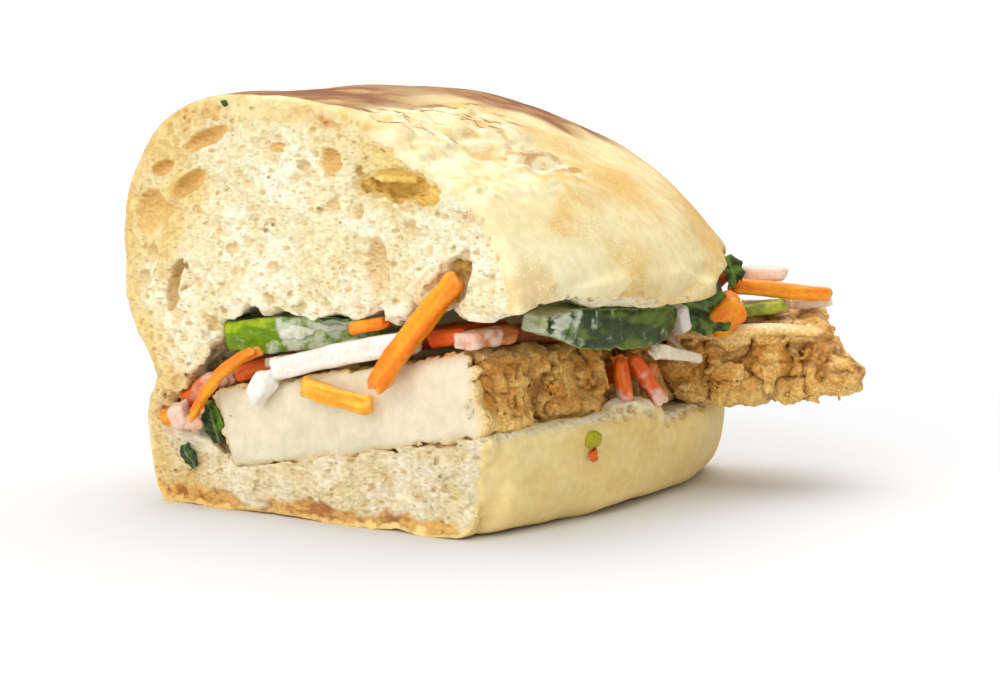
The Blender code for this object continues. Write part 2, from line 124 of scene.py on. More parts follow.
def cells(points, size, seed):
    """Cell noise: distances to the nearest and second nearest scattered point, in cells."""
    rng = np.random.default_rng(seed)
    table = rng.uniform(0.0, 1.0, (TABLE ** 3, 3)).astype(np.float32)
    p = (points / np.asarray(size, float)).astype(np.float32) + np.float32(3.1)
    cell = np.floor(p).astype(np.int32)
    f = p - cell
    first = np.full(len(p), 9.0, np.float32)
    second = first.copy()
    for i in (-1, 0, 1):
        for j in (-1, 0, 1):
            for k in (-1, 0, 1):
                c = (cell + (i, j, k)) % TABLE
                spot = table[(c[:, 0] * TABLE + c[:, 1]) * TABLE + c[:, 2]]
                gap = spot + np.array((i, j, k), np.float32) - f
                distance = np.sqrt((gap * gap).sum(1))
                second = np.minimum(second, np.maximum(first, distance))
                first = np.minimum(first, distance)
    return first, second


# ------------------------------------------------------------------------- fields from CAD solids
def cad_mesh(node):
    """Vertices in millimetres and triangles of a CAD node."""
    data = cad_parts[node].data
    data.calc_loop_triangles()
    vertices = np.empty(len(data.vertices) * 3, np.float32)
    data.vertices.foreach_get("co", vertices)
    triangles = np.empty(len(data.loop_triangles) * 3, np.int32)
    data.loop_triangles.foreach_get("vertices", triangles)
    return vertices.reshape(-1, 3).astype(float) / MM, triangles.reshape(-1, 3)


def tree_of(vertices, triangles):
    return BVHTree.FromPolygons(vertices.tolist(), triangles.tolist())


def distances(tree, points, limit=60.0):
    """Distance of each point to a tree's surface, and the face found (-1 past the limit)."""
    gaps = np.full(len(points), limit)
    faces = np.full(len(points), -1, int)
    for number, point in enumerate(points.tolist()):
        _, _, face, gap = tree.find_nearest(point, limit)
        if face is not None:
            gaps[number], faces[number] = gap, face
    return gaps, faces


def inside_mask(vertices, triangles, axes):
    """True where a grid point lies in the solid: parity of the faces crossed going up."""
    xs, ys, zs = axes
    flips = np.zeros((len(xs), len(ys), len(zs) + 1), bool)
    for a, b, c in vertices[triangles]:
        low, high = np.minimum(np.minimum(a, b), c), np.maximum(np.maximum(a, b), c)
        i0, i1 = np.searchsorted(xs, (low[0], high[0]))
        j0, j1 = np.searchsorted(ys, (low[1], high[1]))
        area = (b[0] - a[0]) * (c[1] - a[1]) - (b[1] - a[1]) * (c[0] - a[0])
        if i0 == i1 or j0 == j1 or abs(area) < 1e-12:
            continue
        x, y = xs[i0:i1, None] - a[0], ys[None, j0:j1] - a[1]
        v = (x * (c[1] - a[1]) - y * (c[0] - a[0])) / area
        w = (y * (b[0] - a[0]) - x * (b[1] - a[1])) / area
        hit_i, hit_j = np.nonzero((v >= 0.0) & (w >= 0.0) & (v + w < 1.0))
        v, w = v[hit_i, hit_j], w[hit_i, hit_j]
        height = a[2] + v * (b[2] - a[2]) + w * (c[2] - a[2])
        flips[i0 + hit_i, j0 + hit_j, np.searchsorted(zs, height)] ^= True
    return np.logical_xor.accumulate(flips, axis=2)[:, :, :-1]


def spread(mask, steps):
    """Grows a mask by steps cells along each axis."""
    for axis in range(3):
        for _ in range(steps):
            grown = mask.copy()
            ahead, behind = [slice(None)] * 3, [slice(None)] * 3
            ahead[axis], behind[axis] = slice(1, None), slice(None, -1)
            grown[tuple(ahead)] |= mask[tuple(behind)]
            grown[tuple(behind)] |= mask[tuple(ahead)]
            mask = grown
    return mask


def lookup(values, axes, targets):
    """Values of a grid at the crossings of finer axes, by linear interpolation."""
    for axis, (known, wanted) in enumerate(zip(axes, targets)):
        place = np.clip(np.interp(wanted, known, np.arange(len(known))), 0, len(known) - 1.0001)
        index = place.astype(int)
        share = (place - index).astype(np.float32)
        shape = [1, 1, 1]
        shape[axis] = -1
        share = share.reshape(shape)
        values = (np.take(values, index, axis) * (1.0 - share)
                  + np.take(values, index + 1, axis) * share)
    return values


def sample(values, axes, points):
    """Values of a grid at scattered points."""
    corner, share = [], []
    for axis in range(3):
        place = np.interp(points[:, axis], axes[axis], np.arange(len(axes[axis])))
        place = np.clip(place, 0, len(axes[axis]) - 1.0001)
        corner.append(place.astype(int))
        share.append(place - corner[-1])
    total = np.zeros(len(points))
    for i in (0, 1):
        for j in (0, 1):
            for k in (0, 1):
                weight = (np.abs(1 - i - share[0]) * np.abs(1 - j - share[1])
                          * np.abs(1 - k - share[2]))
                total += weight * values[corner[0] + i, corner[1] + j, corner[2] + k]
    return total


class Field:
    """Signed distances, negative inside, on a grid whose axes may be unevenly spaced."""

    def __init__(self, node, coarse, fine, margin=3.0, band=3, fine_axes=None):
        self.vertices, self.triangles = cad_mesh(node)
        self.tree = tree_of(self.vertices, self.triangles)
        low, high = self.vertices.min(0) - margin, self.vertices.max(0) + margin
        self.low, self.high = low, high
        shift = np.array((0.0137, 0.0071, 0.0113)) * coarse
        self.coarse_axes = [np.arange(low[k] + shift[k], high[k], coarse) for k in range(3)]
        inside = inside_mask(self.vertices, self.triangles, self.coarse_axes)
        edge = spread(inside, 1) & spread(~inside, 1)
        near = spread(edge, band - 1)
        spots = np.argwhere(near)
        points = np.stack([self.coarse_axes[k][spots[:, k]] for k in range(3)], 1)
        gaps, _ = distances(self.tree, points, coarse * (band + 2))
        values = np.full(inside.shape, coarse * (band + 1), np.float32)
        values[tuple(spots.T)] = gaps
        self.cad = np.where(inside, -values, values)
        self.axes = fine_axes or [np.arange(low[k], high[k], fine) for k in range(3)]
        self.values = lookup(self.cad, self.coarse_axes, self.axes)

    def cad_depth(self, points):
        """Signed distance of points to the CAD solid."""
        return sample(self.cad, self.coarse_axes, points)

    def near(self, width):
        """Indices and places of the grid points within width of the present surface."""
        spots = np.nonzero(np.abs(self.values) < width)
        points = np.stack([self.axes[k][spots[k]] for k in range(3)], 1)
        return spots, points

    def block(self, centre, reach):
        """Slices and open-grid offsets of the grid points within reach of a centre."""
        slices, offsets = [], []
        for axis in range(3):
            a = np.searchsorted(self.axes[axis], centre[axis] - reach[axis])
            b = np.searchsorted(self.axes[axis], centre[axis] + reach[axis])
            slices.append(slice(a, b))
            offsets.append(self.axes[axis][a:b] - centre[axis])
        return tuple(slices), np.stack(np.meshgrid(*offsets, indexing="ij"), -1)

    def ball(self, centre, half, matrix=None, cut=True, soft=0.0):
        """Carves out (or adds) an ellipsoid; matrix's columns are its own axes."""
        matrix = np.eye(3) if matrix is None else matrix
        half = np.asarray(half, float)
        reach = np.sqrt(((matrix * half) ** 2).sum(1)) + 1.0 + soft
        slices, offsets = self.block(centre, reach)
        if min(offsets.shape) == 0:
            return
        local = offsets @ matrix
        scaled = np.sqrt(((local / half) ** 2).sum(-1))
        steep = np.sqrt(((local / half ** 2) ** 2).sum(-1))
        gap = scaled * (scaled - 1.0) / np.maximum(steep, 1e-6)
        gap = np.where(scaled < 0.3, -half.min(), gap)
        part = self.values[slices]
        if cut:
            gap = -gap
        if soft:
            share = np.clip(0.5 + 0.5 * (gap - part) / soft * (1 if cut else -1), 0.0, 1.0)
            mixed = part * (1.0 - share) + gap * share
            lift = soft * share * (1.0 - share)
            self.values[slices] = mixed + lift if cut else mixed - lift
        else:
            self.values[slices] = np.maximum(part, gap) if cut else np.minimum(part, gap)

    def mesh(self):
        """Surface nets: one vertex in each cell that the surface crosses, one quad per edge."""
        xs, ys, zs = (np.asarray(a, float) for a in self.axes)
        nx, ny, nz = self.values.shape
        flat = self.values.ravel()
        inside = self.values < 0.0
        count = np.zeros((nx - 1, ny - 1, nz - 1), np.int8)
        for i in (0, 1):
            for j in (0, 1):
                for k in (0, 1):
                    count += inside[i:nx - 1 + i, j:ny - 1 + j, k:nz - 1 + k]
        cx, cy, cz = np.nonzero((count > 0) & (count < 8))
        number = np.full(count.shape, -1, np.int32)
        number[cx, cy, cz] = np.arange(len(cx))
        base = (cx * ny + cy) * nz + cz
        steps = (ny * nz, nz, 1)
        spans = (np.diff(xs)[cx], np.diff(ys)[cy], np.diff(zs)[cz])
        total, hits = np.zeros((len(cx), 3)), np.zeros(len(cx))
        for axis in range(3):
            u, v = [k for k in range(3) if k != axis]
            for i in (0, 1):
                for j in (0, 1):
                    start = base + i * steps[u] + j * steps[v]
                    f0, f1 = flat[start], flat[start + steps[axis]]
                    crossed = (f0 < 0.0) != (f1 < 0.0)
                    share = np.where(crossed, f0 / np.where(crossed, f0 - f1, 1.0), 0.0)
                    total[:, axis] += crossed * share * spans[axis]
                    total[:, u] += crossed * i * spans[u]
                    total[:, v] += crossed * j * spans[v]
                    hits += crossed
        vertices = np.stack([xs[cx], ys[cy], zs[cz]], 1) + total / hits[:, None]
        quads = []
        for axis in range(3):
            u, v = [(1, 2), (2, 0), (0, 1)][axis]
            here = [slice(None)] * 3
            ahead = [slice(None)] * 3
            here[axis], ahead[axis] = slice(None, -1), slice(1, None)
            starts = inside[tuple(here)]
            where = np.nonzero(starts != inside[tuple(ahead)])
            keep = (where[u] > 0) & (where[v] > 0)
            where = [w[keep] for w in where]
            leaving = starts[tuple(where)]
            corners = []
            for du, dv in ((1, 1), (0, 1), (0, 0), (1, 0)):
                place = list(where)
                place[u] = place[u] - du
                place[v] = place[v] - dv
                corners.append(number[tuple(place)])
            faces = np.stack(corners, 1)
            faces[~leaving] = faces[~leaving][:, ::-1]
            quads.append(faces)
        return vertices, np.concatenate(quads)


# ----------------------------------------------------------------------------------- mesh objects
def largest_body(vertices, faces):
    """Drops the loose scraps: keeps the connected body with the most faces."""
    label = np.arange(len(vertices))
    while True:
        lowest = label[faces].min(1)
        joined = label.copy()
        for corner in range(faces.shape[1]):
            np.minimum.at(joined, faces[:, corner], lowest)
            np.minimum.at(joined, label[faces[:, corner]], lowest)
        joined = joined[joined]
        if (joined == label).all():
            break
        label = joined
    body = label[faces[:, 0]]
    kept = faces[body == np.bincount(body).argmax()]
    used = np.unique(kept)
    number = np.zeros(len(vertices), np.int64)
    number[used] = np.arange(len(used))
    return vertices[used], number[kept]


def make_object(name, vertices, faces):
    """A mesh object from millimetres; faces are an array of triangles or quads."""
    data = bpy.data.meshes.new(name)
    sides = faces.shape[1]
    data.vertices.add(len(vertices))
    data.vertices.foreach_set("co", (np.asarray(vertices) * MM).astype(np.float32).ravel())
    data.loops.add(faces.size)
    data.loops.foreach_set("vertex_index", faces.astype(np.int32).ravel())
    data.polygons.add(len(faces))
    data.polygons.foreach_set("loop_start", np.arange(0, faces.size, sides, dtype=np.int32))
    data.polygons.foreach_set("loop_total", np.full(len(faces), sides, np.int32))
    data.update(calc_edges=True)
    data.validate()
    data.shade_smooth()
    made = bpy.data.objects.new(name, data)
    bpy.context.scene.collection.objects.link(made)
    return made


def apply_modifiers(obj):
    graph = bpy.context.evaluated_depsgraph_get()
    data = bpy.data.meshes.new_from_object(obj.evaluated_get(graph))
    obj.modifiers.clear()
    old, obj.data = obj.data, data
    bpy.data.meshes.remove(old)


def thin_out(obj, triangles):
    """Collapses flat places until the mesh has at most this many triangles."""
    have = sum(len(p.vertices) - 2 for p in obj.data.polygons)
    if have > triangles:
        decimate = obj.modifiers.new("thin out", "DECIMATE")
        decimate.ratio = triangles / have
        apply_modifiers(obj)
    obj.data.shade_smooth()


def places(obj):
    """An object's vertices in millimetres."""
    flat = np.empty(len(obj.data.vertices) * 3, np.float32)
    obj.data.vertices.foreach_get("co", flat)
    return flat.reshape(-1, 3).astype(float) / MM


def normals(obj):
    flat = np.empty(len(obj.data.vertices) * 3, np.float32)
    obj.data.vertices.foreach_get("normal", flat)
    return flat.reshape(-1, 3).astype(float)


def put_value(obj, name, values):
    layer = obj.data.attributes.new(name, "FLOAT", "POINT")
    layer.data.foreach_set("value", np.asarray(values, np.float32))


def put_colour(obj, name, colours):
    layer = obj.data.attributes.new(name, "FLOAT_COLOR", "POINT")
    rgba = np.ones((len(colours), 4), np.float32)
    rgba[:, :3] = colours
    layer.data.foreach_set("color", rgba.ravel())


# -------------------------------------------------------------------------------------- materials
class Shader:
    """A material with one Principled BSDF and short calls that add nodes before it."""

    def __init__(self, name, **constants):
        self.material = bpy.data.materials.new(name)
        self.material.use_nodes = True
        self.tree = self.material.node_tree
        self.bsdf = self.tree.nodes["Principled BSDF"]
        for socket, value in constants.items():
            self.bsdf.inputs[socket.replace("_", " ")].default_value = value
        self.position = self.tree.nodes.new("ShaderNodeTexCoord").outputs["Object"]

    def node(self, kind, settings=None, **inputs):
        made = self.tree.nodes.new("ShaderNode" + kind)
        for key, value in (settings or {}).items():
            setattr(made, key, value)
        for key, value in inputs.items():
            self.feed(made.inputs[key.replace("_", " ")], value)
        return made

    def feed(self, socket, value):
        if isinstance(value, bpy.types.NodeSocket):
            self.tree.links.new(value, socket)
        else:
            socket.default_value = value

    def attribute(self, name, output="Fac"):
        return self.node("Attribute", dict(attribute_name=name)).outputs[output]

    def noise(self, size, detail=2.0, roughness=0.5, stretch=None):
        """Noise, 0 to 1, with features of a size in millimetres."""
        vector = self.position
        if stretch:
            vector = self.node("Mapping", Vector=vector, Scale=stretch).outputs["Vector"]
        return self.node("TexNoise", Vector=vector, Scale=1.0 / (size * MM), Detail=detail,
                         Roughness=roughness).outputs["Fac"]

    def cell(self, size, feature="F1", stretch=None):
        vector = self.position
        if stretch:
            vector = self.node("Mapping", Vector=vector, Scale=stretch).outputs["Vector"]
        return self.node("TexVoronoi", dict(feature=feature), Vector=vector,
                         Scale=1.0 / (size * MM)).outputs["Distance"]

    def ranged(self, value, low, high, out_low=0.0, out_high=1.0):
        made = self.node("MapRange", dict(interpolation_type="SMOOTHSTEP"))
        for socket, given in zip(made.inputs, (value, low, high, out_low, out_high)):
            self.feed(socket, given)
        return made.outputs["Result"]

    def math(self, operation, a, b=0.5, clamp=False):
        made = self.node("Math", dict(operation=operation, use_clamp=clamp))
        self.feed(made.inputs[0], a)
        self.feed(made.inputs[1], b)
        return made.outputs["Value"]

    def mix(self, share, colour_a, colour_b, how="MIX"):
        made = self.node("Mix", dict(data_type="RGBA", blend_type=how))
        self.feed(made.inputs["Factor"], share)
        for socket, value in ((made.inputs[6], colour_a), (made.inputs[7], colour_b)):
            if not isinstance(value, bpy.types.NodeSocket):
                value = (*value, 1.0)
            self.feed(socket, value)
        return made.outputs[2]

    def bump(self, height, distance, strength=1.0, below=None):
        """A bump, its distance in millimetres, on top of another one."""
        made = self.node("Bump", Height=height, Distance=distance * MM, Strength=strength)
        if below:
            self.feed(made.inputs["Normal"], below)
        return made.outputs["Normal"]

    def finish(self, **links):
        for socket, value in links.items():
            self.feed(self.bsdf.inputs[socket.replace("_", " ")], value)
        return self.material


def add_piece(obj, material, slot, *nodes):
    """Gives a piece its material and body and hides the CAD nodes it stands for; slot is not used."""
    obj.data.materials.clear()
    obj.data.materials.append(material)
    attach(obj, "root")
    if nodes:
        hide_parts(*nodes)
    return obj


# ------------------------------------------------------------------------------------------ bread
BREAD_LOW, BREAD_HIGH = (np.array(corner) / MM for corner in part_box("bread"))
CUT_Y = BREAD_LOW[1]                      # the knife cut
TOP_Z = BREAD_HIGH[2]
SECTION_CENTRE = np.array((0.0, 46.0))    # middle of the cut face, x and z
BREAD_GRID = 0.36
BREAD_TRIANGLES = 195000
RNG = np.random.default_rng(11)


def bread_axes():
    """A fine grid at the knife cut, coarser towards the baked end."""
    xs = np.arange(BREAD_LOW[0] - 2.5, BREAD_HIGH[0] + 2.5, BREAD_GRID)
    zs = np.arange(BREAD_LOW[2] - 2.5, BREAD_HIGH[2] + 2.5, BREAD_GRID)
    ys, step = [CUT_Y - 3.0], BREAD_GRID
    while ys[-1] < BREAD_HIGH[1] + 2.5:
        if ys[-1] > CUT_Y + 6.0:
            step = min(step * 1.06, 0.85)
        ys.append(ys[-1] + step)
    return [xs, np.array(ys), zs]


def is_crust(vertices, triangles, tree):
    """True for the roll's baked outside: the faces that see almost all of their half space."""
    corners = vertices[triangles]
    middles = corners.mean(1)
    facing = unit(np.cross(corners[:, 1] - corners[:, 0], corners[:, 2] - corners[:, 0]))
    looks = unit(np.random.default_rng(3).normal(size=(40, 3)))
    free = np.zeros(len(triangles))
    for number, (middle, normal) in enumerate(zip(middles, facing)):
        ways = np.where((looks @ normal)[:, None] < 0.0, -looks, looks)
        start = Vector(middle + normal * 0.05)
        open_ways = sum(tree.ray_cast(start, Vector(way))[2] is None for way in ways)
        free[number] = open_ways / len(ways)
    cut_face = (facing[:, 1] < -0.5) & (middles[:, 1] < CUT_Y + 14.0)
    hinge = (middles[:, 0] < -34.0) & (facing[:, 0] < -0.3)
    return ((free > 0.72) | hinge) & ~cut_face


def random_points(vertices, triangles, count, rng):
    """Points spread evenly over triangles, with each one's normal."""
    corners = vertices[triangles]
    cross = np.cross(corners[:, 1] - corners[:, 0], corners[:, 2] - corners[:, 0])
    area = np.linalg.norm(cross, axis=1)
    picked = rng.choice(len(triangles), count, p=area / area.sum())
    u, v = rng.uniform(size=(2, count))
    flip = u + v > 1.0
    u, v = np.where(flip, 1.0 - u, u), np.where(flip, 1.0 - v, v)
    a, b, c = (corners[picked, k] for k in range(3))
    return a + (b - a) * u[:, None] + (c - a) * v[:, None], unit(cross[picked])


FILLINGS = [node for node in NODES if node != "bread"]
VIEW_SIDE = np.array((0.58, -0.80, 0.11))     # the side towards the camera; crust turned away from it is painted browner
CREST_SIDE = np.array((0.587, -0.809, 0.025))  # nearly level, for the flat top


def blurred(values, reach):
    """Box average over reach cells each way, along each axis in turn."""
    for axis in range(3):
        total, size = np.zeros_like(values), values.shape[axis]
        for shift in range(-reach, reach + 1):
            total += np.take(values, np.clip(np.arange(size) + shift, 0, size - 1), axis)
        values = total / (2 * reach + 1)
    return values


def filling_gaps(field, spots):
    """Signed distances to the fillings on the bread's coarse grid, negative inside them."""
    parts = [cad_mesh(node) for node in FILLINGS]
    starts = np.cumsum([0] + [len(vertices) for vertices, _ in parts])
    vertices = np.concatenate([part[0] for part in parts])
    triangles = np.concatenate([part[1] + start for part, start in zip(parts, starts)])
    inside = inside_mask(vertices, triangles, field.coarse_axes)
    points = np.stack([field.coarse_axes[k][spots[:, k]] for k in range(3)], 1)
    gaps = np.full(inside.shape, 5.0, np.float32)
    gaps[tuple(spots.T)], _ = distances(tree_of(vertices, triangles), points, 5.0)
    return np.where(inside, -gaps, gaps)


def swelling(p):
    """How far the top crust bulges beyond the CAD solid, in millimetres."""
    x, y, z = p.T
    top = 1.2 * smooth(48.0, 68.0, z) + 0.9 * smooth(5.0, 30.0, x) * smooth(34.0, 50.0, z)
    left = -0.6 * smooth(-33.0, -41.0, x) * smooth(52.0, 62.0, z) * smooth(78.0, 70.0, z)
    base = 0.8 * smooth(-30.0, -42.0, x) * smooth(26.0, 18.0, z)
    return (np.minimum(top, 1.6) + left + base) * smooth(CUT_Y - 0.6, CUT_Y + 0.6, y)


def slash_band(p):
    """The rough torn band of the slash across the top crust."""
    x, y, z = p.T
    return smooth(10.0, 17.0, x) * smooth(47.0, 41.0, x) * smooth(-6.0, -17.0, y) * smooth(60.0, 65.0, z)


PLAIN_POCKETS = (((-26.5, -50.7, 72.5), 6.0), ((-33.9, -50.8, 66.4), 4.6), ((-39.0, -50.6, 58.6), 4.9),
                 ((-31.5, -50.7, 47.0), 6.9), ((-1.5, -50.9, 69.5), 5.0))
LIP_MOUND, LIP_MOUND_HALF = np.array((44.6, -1.5, 18.0)), np.array((4.0, 11.0, 4.9))


def bread_relief(field, crust_gap, spots):
    """Waves and tears larger than a few millimetres, added on the CAD's own grid."""
    near = tuple(spots.T)
    p = np.stack([field.coarse_axes[k][spots[:, k]] for k in range(3)], 1)
    gap = crust_gap[near]
    crumb = smooth(0.5, 4.0, gap)
    back = smooth(CUT_Y + 2.0, CUT_Y + 6.0, p[:, 1])
    soft = blurred(field.cad, 2)[near]
    start = field.cad[near] + (soft - field.cad[near]) * back * (1.0 - crumb)

    at_cut = smooth(7.0, 1.0, p[:, 1] - CUT_Y)
    relief = (0.4 * layered(p, 18.0, 21, 2) - swelling(p)) * (1.0 - smooth(1.0, 3.0, gap))
    relief += crumb * (0.55 * layered(p, 9.0, 22, 3) + at_cut * 0.5 * layered(p, 22.0, 23, 2))
    relief += slash_band(p) * (0.6 * layered(p, (3.0, 5.0, 3.0), 25, 3) - 0.1)
    folds = smooth(53.0, 48.0, p[:, 2]) * smooth(41.0, 44.0, p[:, 2]) * smooth(38.0, 46.0, p[:, 0])
    relief += folds * 0.6 * layered(p, (5.0, 9.0, 3.0), 26, 2)
    dents = smooth(20.0, 12.0, p[:, 2]) * smooth(38.0, 44.0, p[:, 0])
    relief += dents * 0.45 * layered(p, (12.0, 16.0, 4.5), 27, 2)
    torn_corner = (smooth(16.0, 24.0, p[:, 0]) * smooth(20.0, 14.0, p[:, 2])
                   * smooth(9.0, 4.0, p[:, 1] - CUT_Y))
    relief += torn_corner * np.maximum(1.6 + 2.3 * layered(p, 6.0, 24, 3), -0.3) * smooth(-0.5, 4.0, p[:, 2])
    for centre, radius in PLAIN_POCKETS:
        filled = np.maximum(np.linalg.norm(p - centre, axis=1) - radius, CUT_Y - p[:, 1])
        start = np.minimum(start, filled)
    worked = field.cad.copy()
    worked[near] = start + relief

    # soft crumb pressed against the fillings, ragged at the mouth of the slit
    fill = filling_gaps(field, spots)[near]
    mouth = smooth(10.0, 2.0, p[:, 1] - CUT_Y)
    ragged = layered(p, (3.2, 3.2, 3.0), 28, 3)
    grow = 1.0 + mouth * (1.2 + 1.5 * ragged)
    grow *= smooth(48.0, 44.0, p[:, 2]) * smooth(0.8, 2.6, gap)
    behind_cut = CUT_Y + 0.35 + 0.3 * ragged - p[:, 1]
    mound = np.linalg.norm((p - LIP_MOUND) / LIP_MOUND_HALF, axis=1) - 1.0
    mound = mound * LIP_MOUND_HALF.min() + 0.5 * ragged
    grown = np.minimum(np.maximum(worked[near] - np.maximum(grow, 0.0), behind_cut), mound)
    worked[near] = np.minimum(worked[near], np.maximum(grown, 0.15 - fill))
    return worked


def make_pores(field, worked, triangles, count, sizes, long, seed, depth=(-0.45, 0.35)):
    """Carves pores into some of the CAD's faces; they lie along the curve of the crust."""
    rng = np.random.default_rng(seed)
    points, facing = random_points(field.vertices, triangles, count, rng)
    shift = sample(worked, field.coarse_axes, points)
    points = points - facing * shift[:, None]
    kept = np.abs(shift) < 1.2
    for point, normal in zip(points[kept], facing[kept]):
        radius = sizes[0] * (sizes[1] / sizes[0]) ** (rng.uniform() ** 1.8)
        away = point[[0, 2]] - SECTION_CENTRE
        along = np.array((-away[1], 0.0, away[0]))
        along = unit(along + np.linalg.norm(along) * 0.45 * rng.normal(size=3))
        inward = unit(-normal - along * (along @ -normal))
        across = np.cross(along, inward)
        half = radius * np.array((rng.uniform(*long), rng.uniform(0.75, 1.1), 1.0))
        centre = point - normal * radius * rng.uniform(*depth)
        field.ball(centre, half, np.stack([along, across, inward], 1))


# DEEP_HOLE: the deep hole's golden walls painted brighter to lift the shade inside: partly own colour, partly painted
# light
GOLDEN_DENT, PALE_DENT, DEEP_HOLE = (232, 194, 124), (230, 206, 156), (255, 226, 134)
DENTS = (                                     # x, z, half sizes, turn about Y, softness, colour
    (-26.4, 75.0, (6.8, 3.2, 1.7), -22.0, 0.35, GOLDEN_DENT),
    (-37.7, 68.9, (3.0, 2.6, 1.5), -20.0, 0.3, GOLDEN_DENT),
    (-30.5, 66.0, (4.6, 3.2, 2.0), -34.0, 0.4, GOLDEN_DENT),
    (-40.6, 59.8, (4.3, 2.2, 4.9), -10.0, 0.6, GOLDEN_DENT),
    (-34.4, 45.0, (1.8, 4.6, 6.2), 24.0, 0.2, PALE_DENT),
    (-7.3, 73.7, (2.3, 2.0, 1.1), -5.0, 0.3, GOLDEN_DENT),
    (6.6, 71.4, (2.7, 3.0, 2.5), 20.0, 0.4, GOLDEN_DENT),
    (25.0, 67.4, (8.4, 4.6, 2.7), 9.0, 0.35, DEEP_HOLE),
    (17.8, 51.4, (2.5, 2.3, 6.0), -6.0, 1.6, PALE_DENT),
    (-19.0, 53.2, (1.6, 1.3, 1.2), 0.0, 0.3, PALE_DENT),
    (-8.5, 50.0, (1.7, 1.3, 1.2), 10.0, 0.3, PALE_DENT),
    (6.9, 62.6, (1.7, 1.3, 1.5), -20.0, 0.3, PALE_DENT),
    (26.0, 58.7, (1.8, 1.4, 2.0), 0.0, 0.4, PALE_DENT),
    (-43.0, 46.0, (2.0, 1.3, 2.0), 0.0, 0.4, PALE_DENT),
    (-40.8, 51.2, (1.3, 1.2, 2.4), 20.0, 0.4, PALE_DENT),
)


def dent_paint(p, colour):
    """Paints the floors of the large holes in the cut face, darker towards each hole's upper rim as painted shade and
    lighter towards its lower edge as painted light.
    """
    for x, z, half, angle, soft, rgb in DENTS:
        local = (p - (x, CUT_Y - 0.3, z)) @ turned(angle, "Y") / half
        scaled = np.linalg.norm(local[:, [0, 2]], axis=1)
        share = smooth(1.06, 0.9, scaled) * smooth(half[1] + 8.0, half[1] + 4.0, p[:, 1] - CUT_Y)
        floor = blend(tone(*rgb) * 1.08, tone(*rgb) * (0.84, 0.74, 0.56), smooth(-0.4, 0.9, local[:, 2]))
        colour = blend(colour, floor, 0.9 * share)
    return colour


def bread_mesh():
    field = Field("bread", 1.0, None, margin=4.0, band=4, fine_axes=bread_axes())
    crust = is_crust(field.vertices, field.triangles, field.tree)
    crust_tree = tree_of(field.vertices, field.triangles[crust])
    spots = np.argwhere(np.abs(field.cad) < 4.4)
    points = np.stack([field.coarse_axes[k][spots[:, k]] for k in range(3)], 1)
    gap = np.full(field.cad.shape, 12.0, np.float32)
    gap[tuple(spots.T)], _ = distances(crust_tree, points, 12.0)
    gap = np.maximum(gap - np.abs(field.cad), 0.0)
    worked = bread_relief(field, gap, spots)
    field.values = lookup(worked, field.coarse_axes, field.axes)

    corners = field.vertices[field.triangles]
    facing = unit(np.cross(corners[:, 1] - corners[:, 0], corners[:, 2] - corners[:, 0]))
    cut_face = ~crust & (facing[:, 1] < -0.9) & (corners[:, :, 1].max(1) < CUT_Y + 0.01)
    middles = corners.mean(1)
    seen = (middles[:, 1] < CUT_Y + 14.0) | (middles[:, 0] > BREAD_HIGH[0] - 20.0)
    slit_face = ~crust & ~cut_face & seen
    front = field.triangles[cut_face]
    make_pores(field, worked, front, 4800, (0.32, 0.72), (1.2, 2.6), 31, (-0.25, 0.4))
    make_pores(field, worked, front, 120, (0.8, 1.4), (1.0, 2.2), 32, (-0.6, 0.1))
    make_pores(field, worked, field.triangles[slit_face], 1500, (0.45, 1.4), (1.0, 1.8), 33)
    make_slash(field)
    for x, z, half, angle, soft, _ in DENTS:
        field.ball(np.array((x, CUT_Y - 0.3, z)), half, turned(angle, "Y"), soft=soft)

    near, p = field.near(0.75)
    fine_gap = sample(gap, field.coarse_axes, p)
    crumb = np.maximum(smooth(0.4, 1.4, fine_gap), 1.3 * slash_band(p))
    relief = crumb * (0.12 * layered(p, (2.8, 2.8, 1.6), 41, 2) + 0.04 * noise(p, 0.9, 44))
    relief += 0.14 * slash_band(p) * layered(p, 1.2, 45, 2)
    field.values[near] += relief
    vertices, faces = field.mesh()
    return field, worked, crust_tree, vertices, faces


SLASH_MIDDLE, SLASH_ALONG = np.array((35.8, -20.0, 69.0)), unit(np.array((0.06, 0.99, -0.08)))


def slash_axes():
    """Columns: along the slash, up the slope across it, out of the crust."""
    out = unit(np.array((0.6, -0.05, 0.8)))
    across = unit(np.cross(out, SLASH_ALONG))
    return np.stack([SLASH_ALONG, across, np.cross(SLASH_ALONG, across)], 1)


def make_slash(field):
    """The pit left where the scored crust tore: a crescent under a lifted rim."""
    axes = slash_axes()
    along, across, out = axes.T
    if out[2] < 0.0:
        across, out = -across, -out
    uphill = across if across[2] > 0.0 else -across
    field.ball(SLASH_MIDDLE + uphill * 3.6 + out * 0.6, (8.5, 1.9, 1.3), axes, cut=False, soft=0.8)
    field.ball(SLASH_MIDDLE + uphill * 0.8 + out * 1.2, (7.6, 2.2, 2.5), axes, soft=0.3)
    field.ball(SLASH_MIDDLE + along * 6.5 - uphill * 0.8 + out * 1.0, (5.0, 1.5, 1.7), axes, soft=0.3)


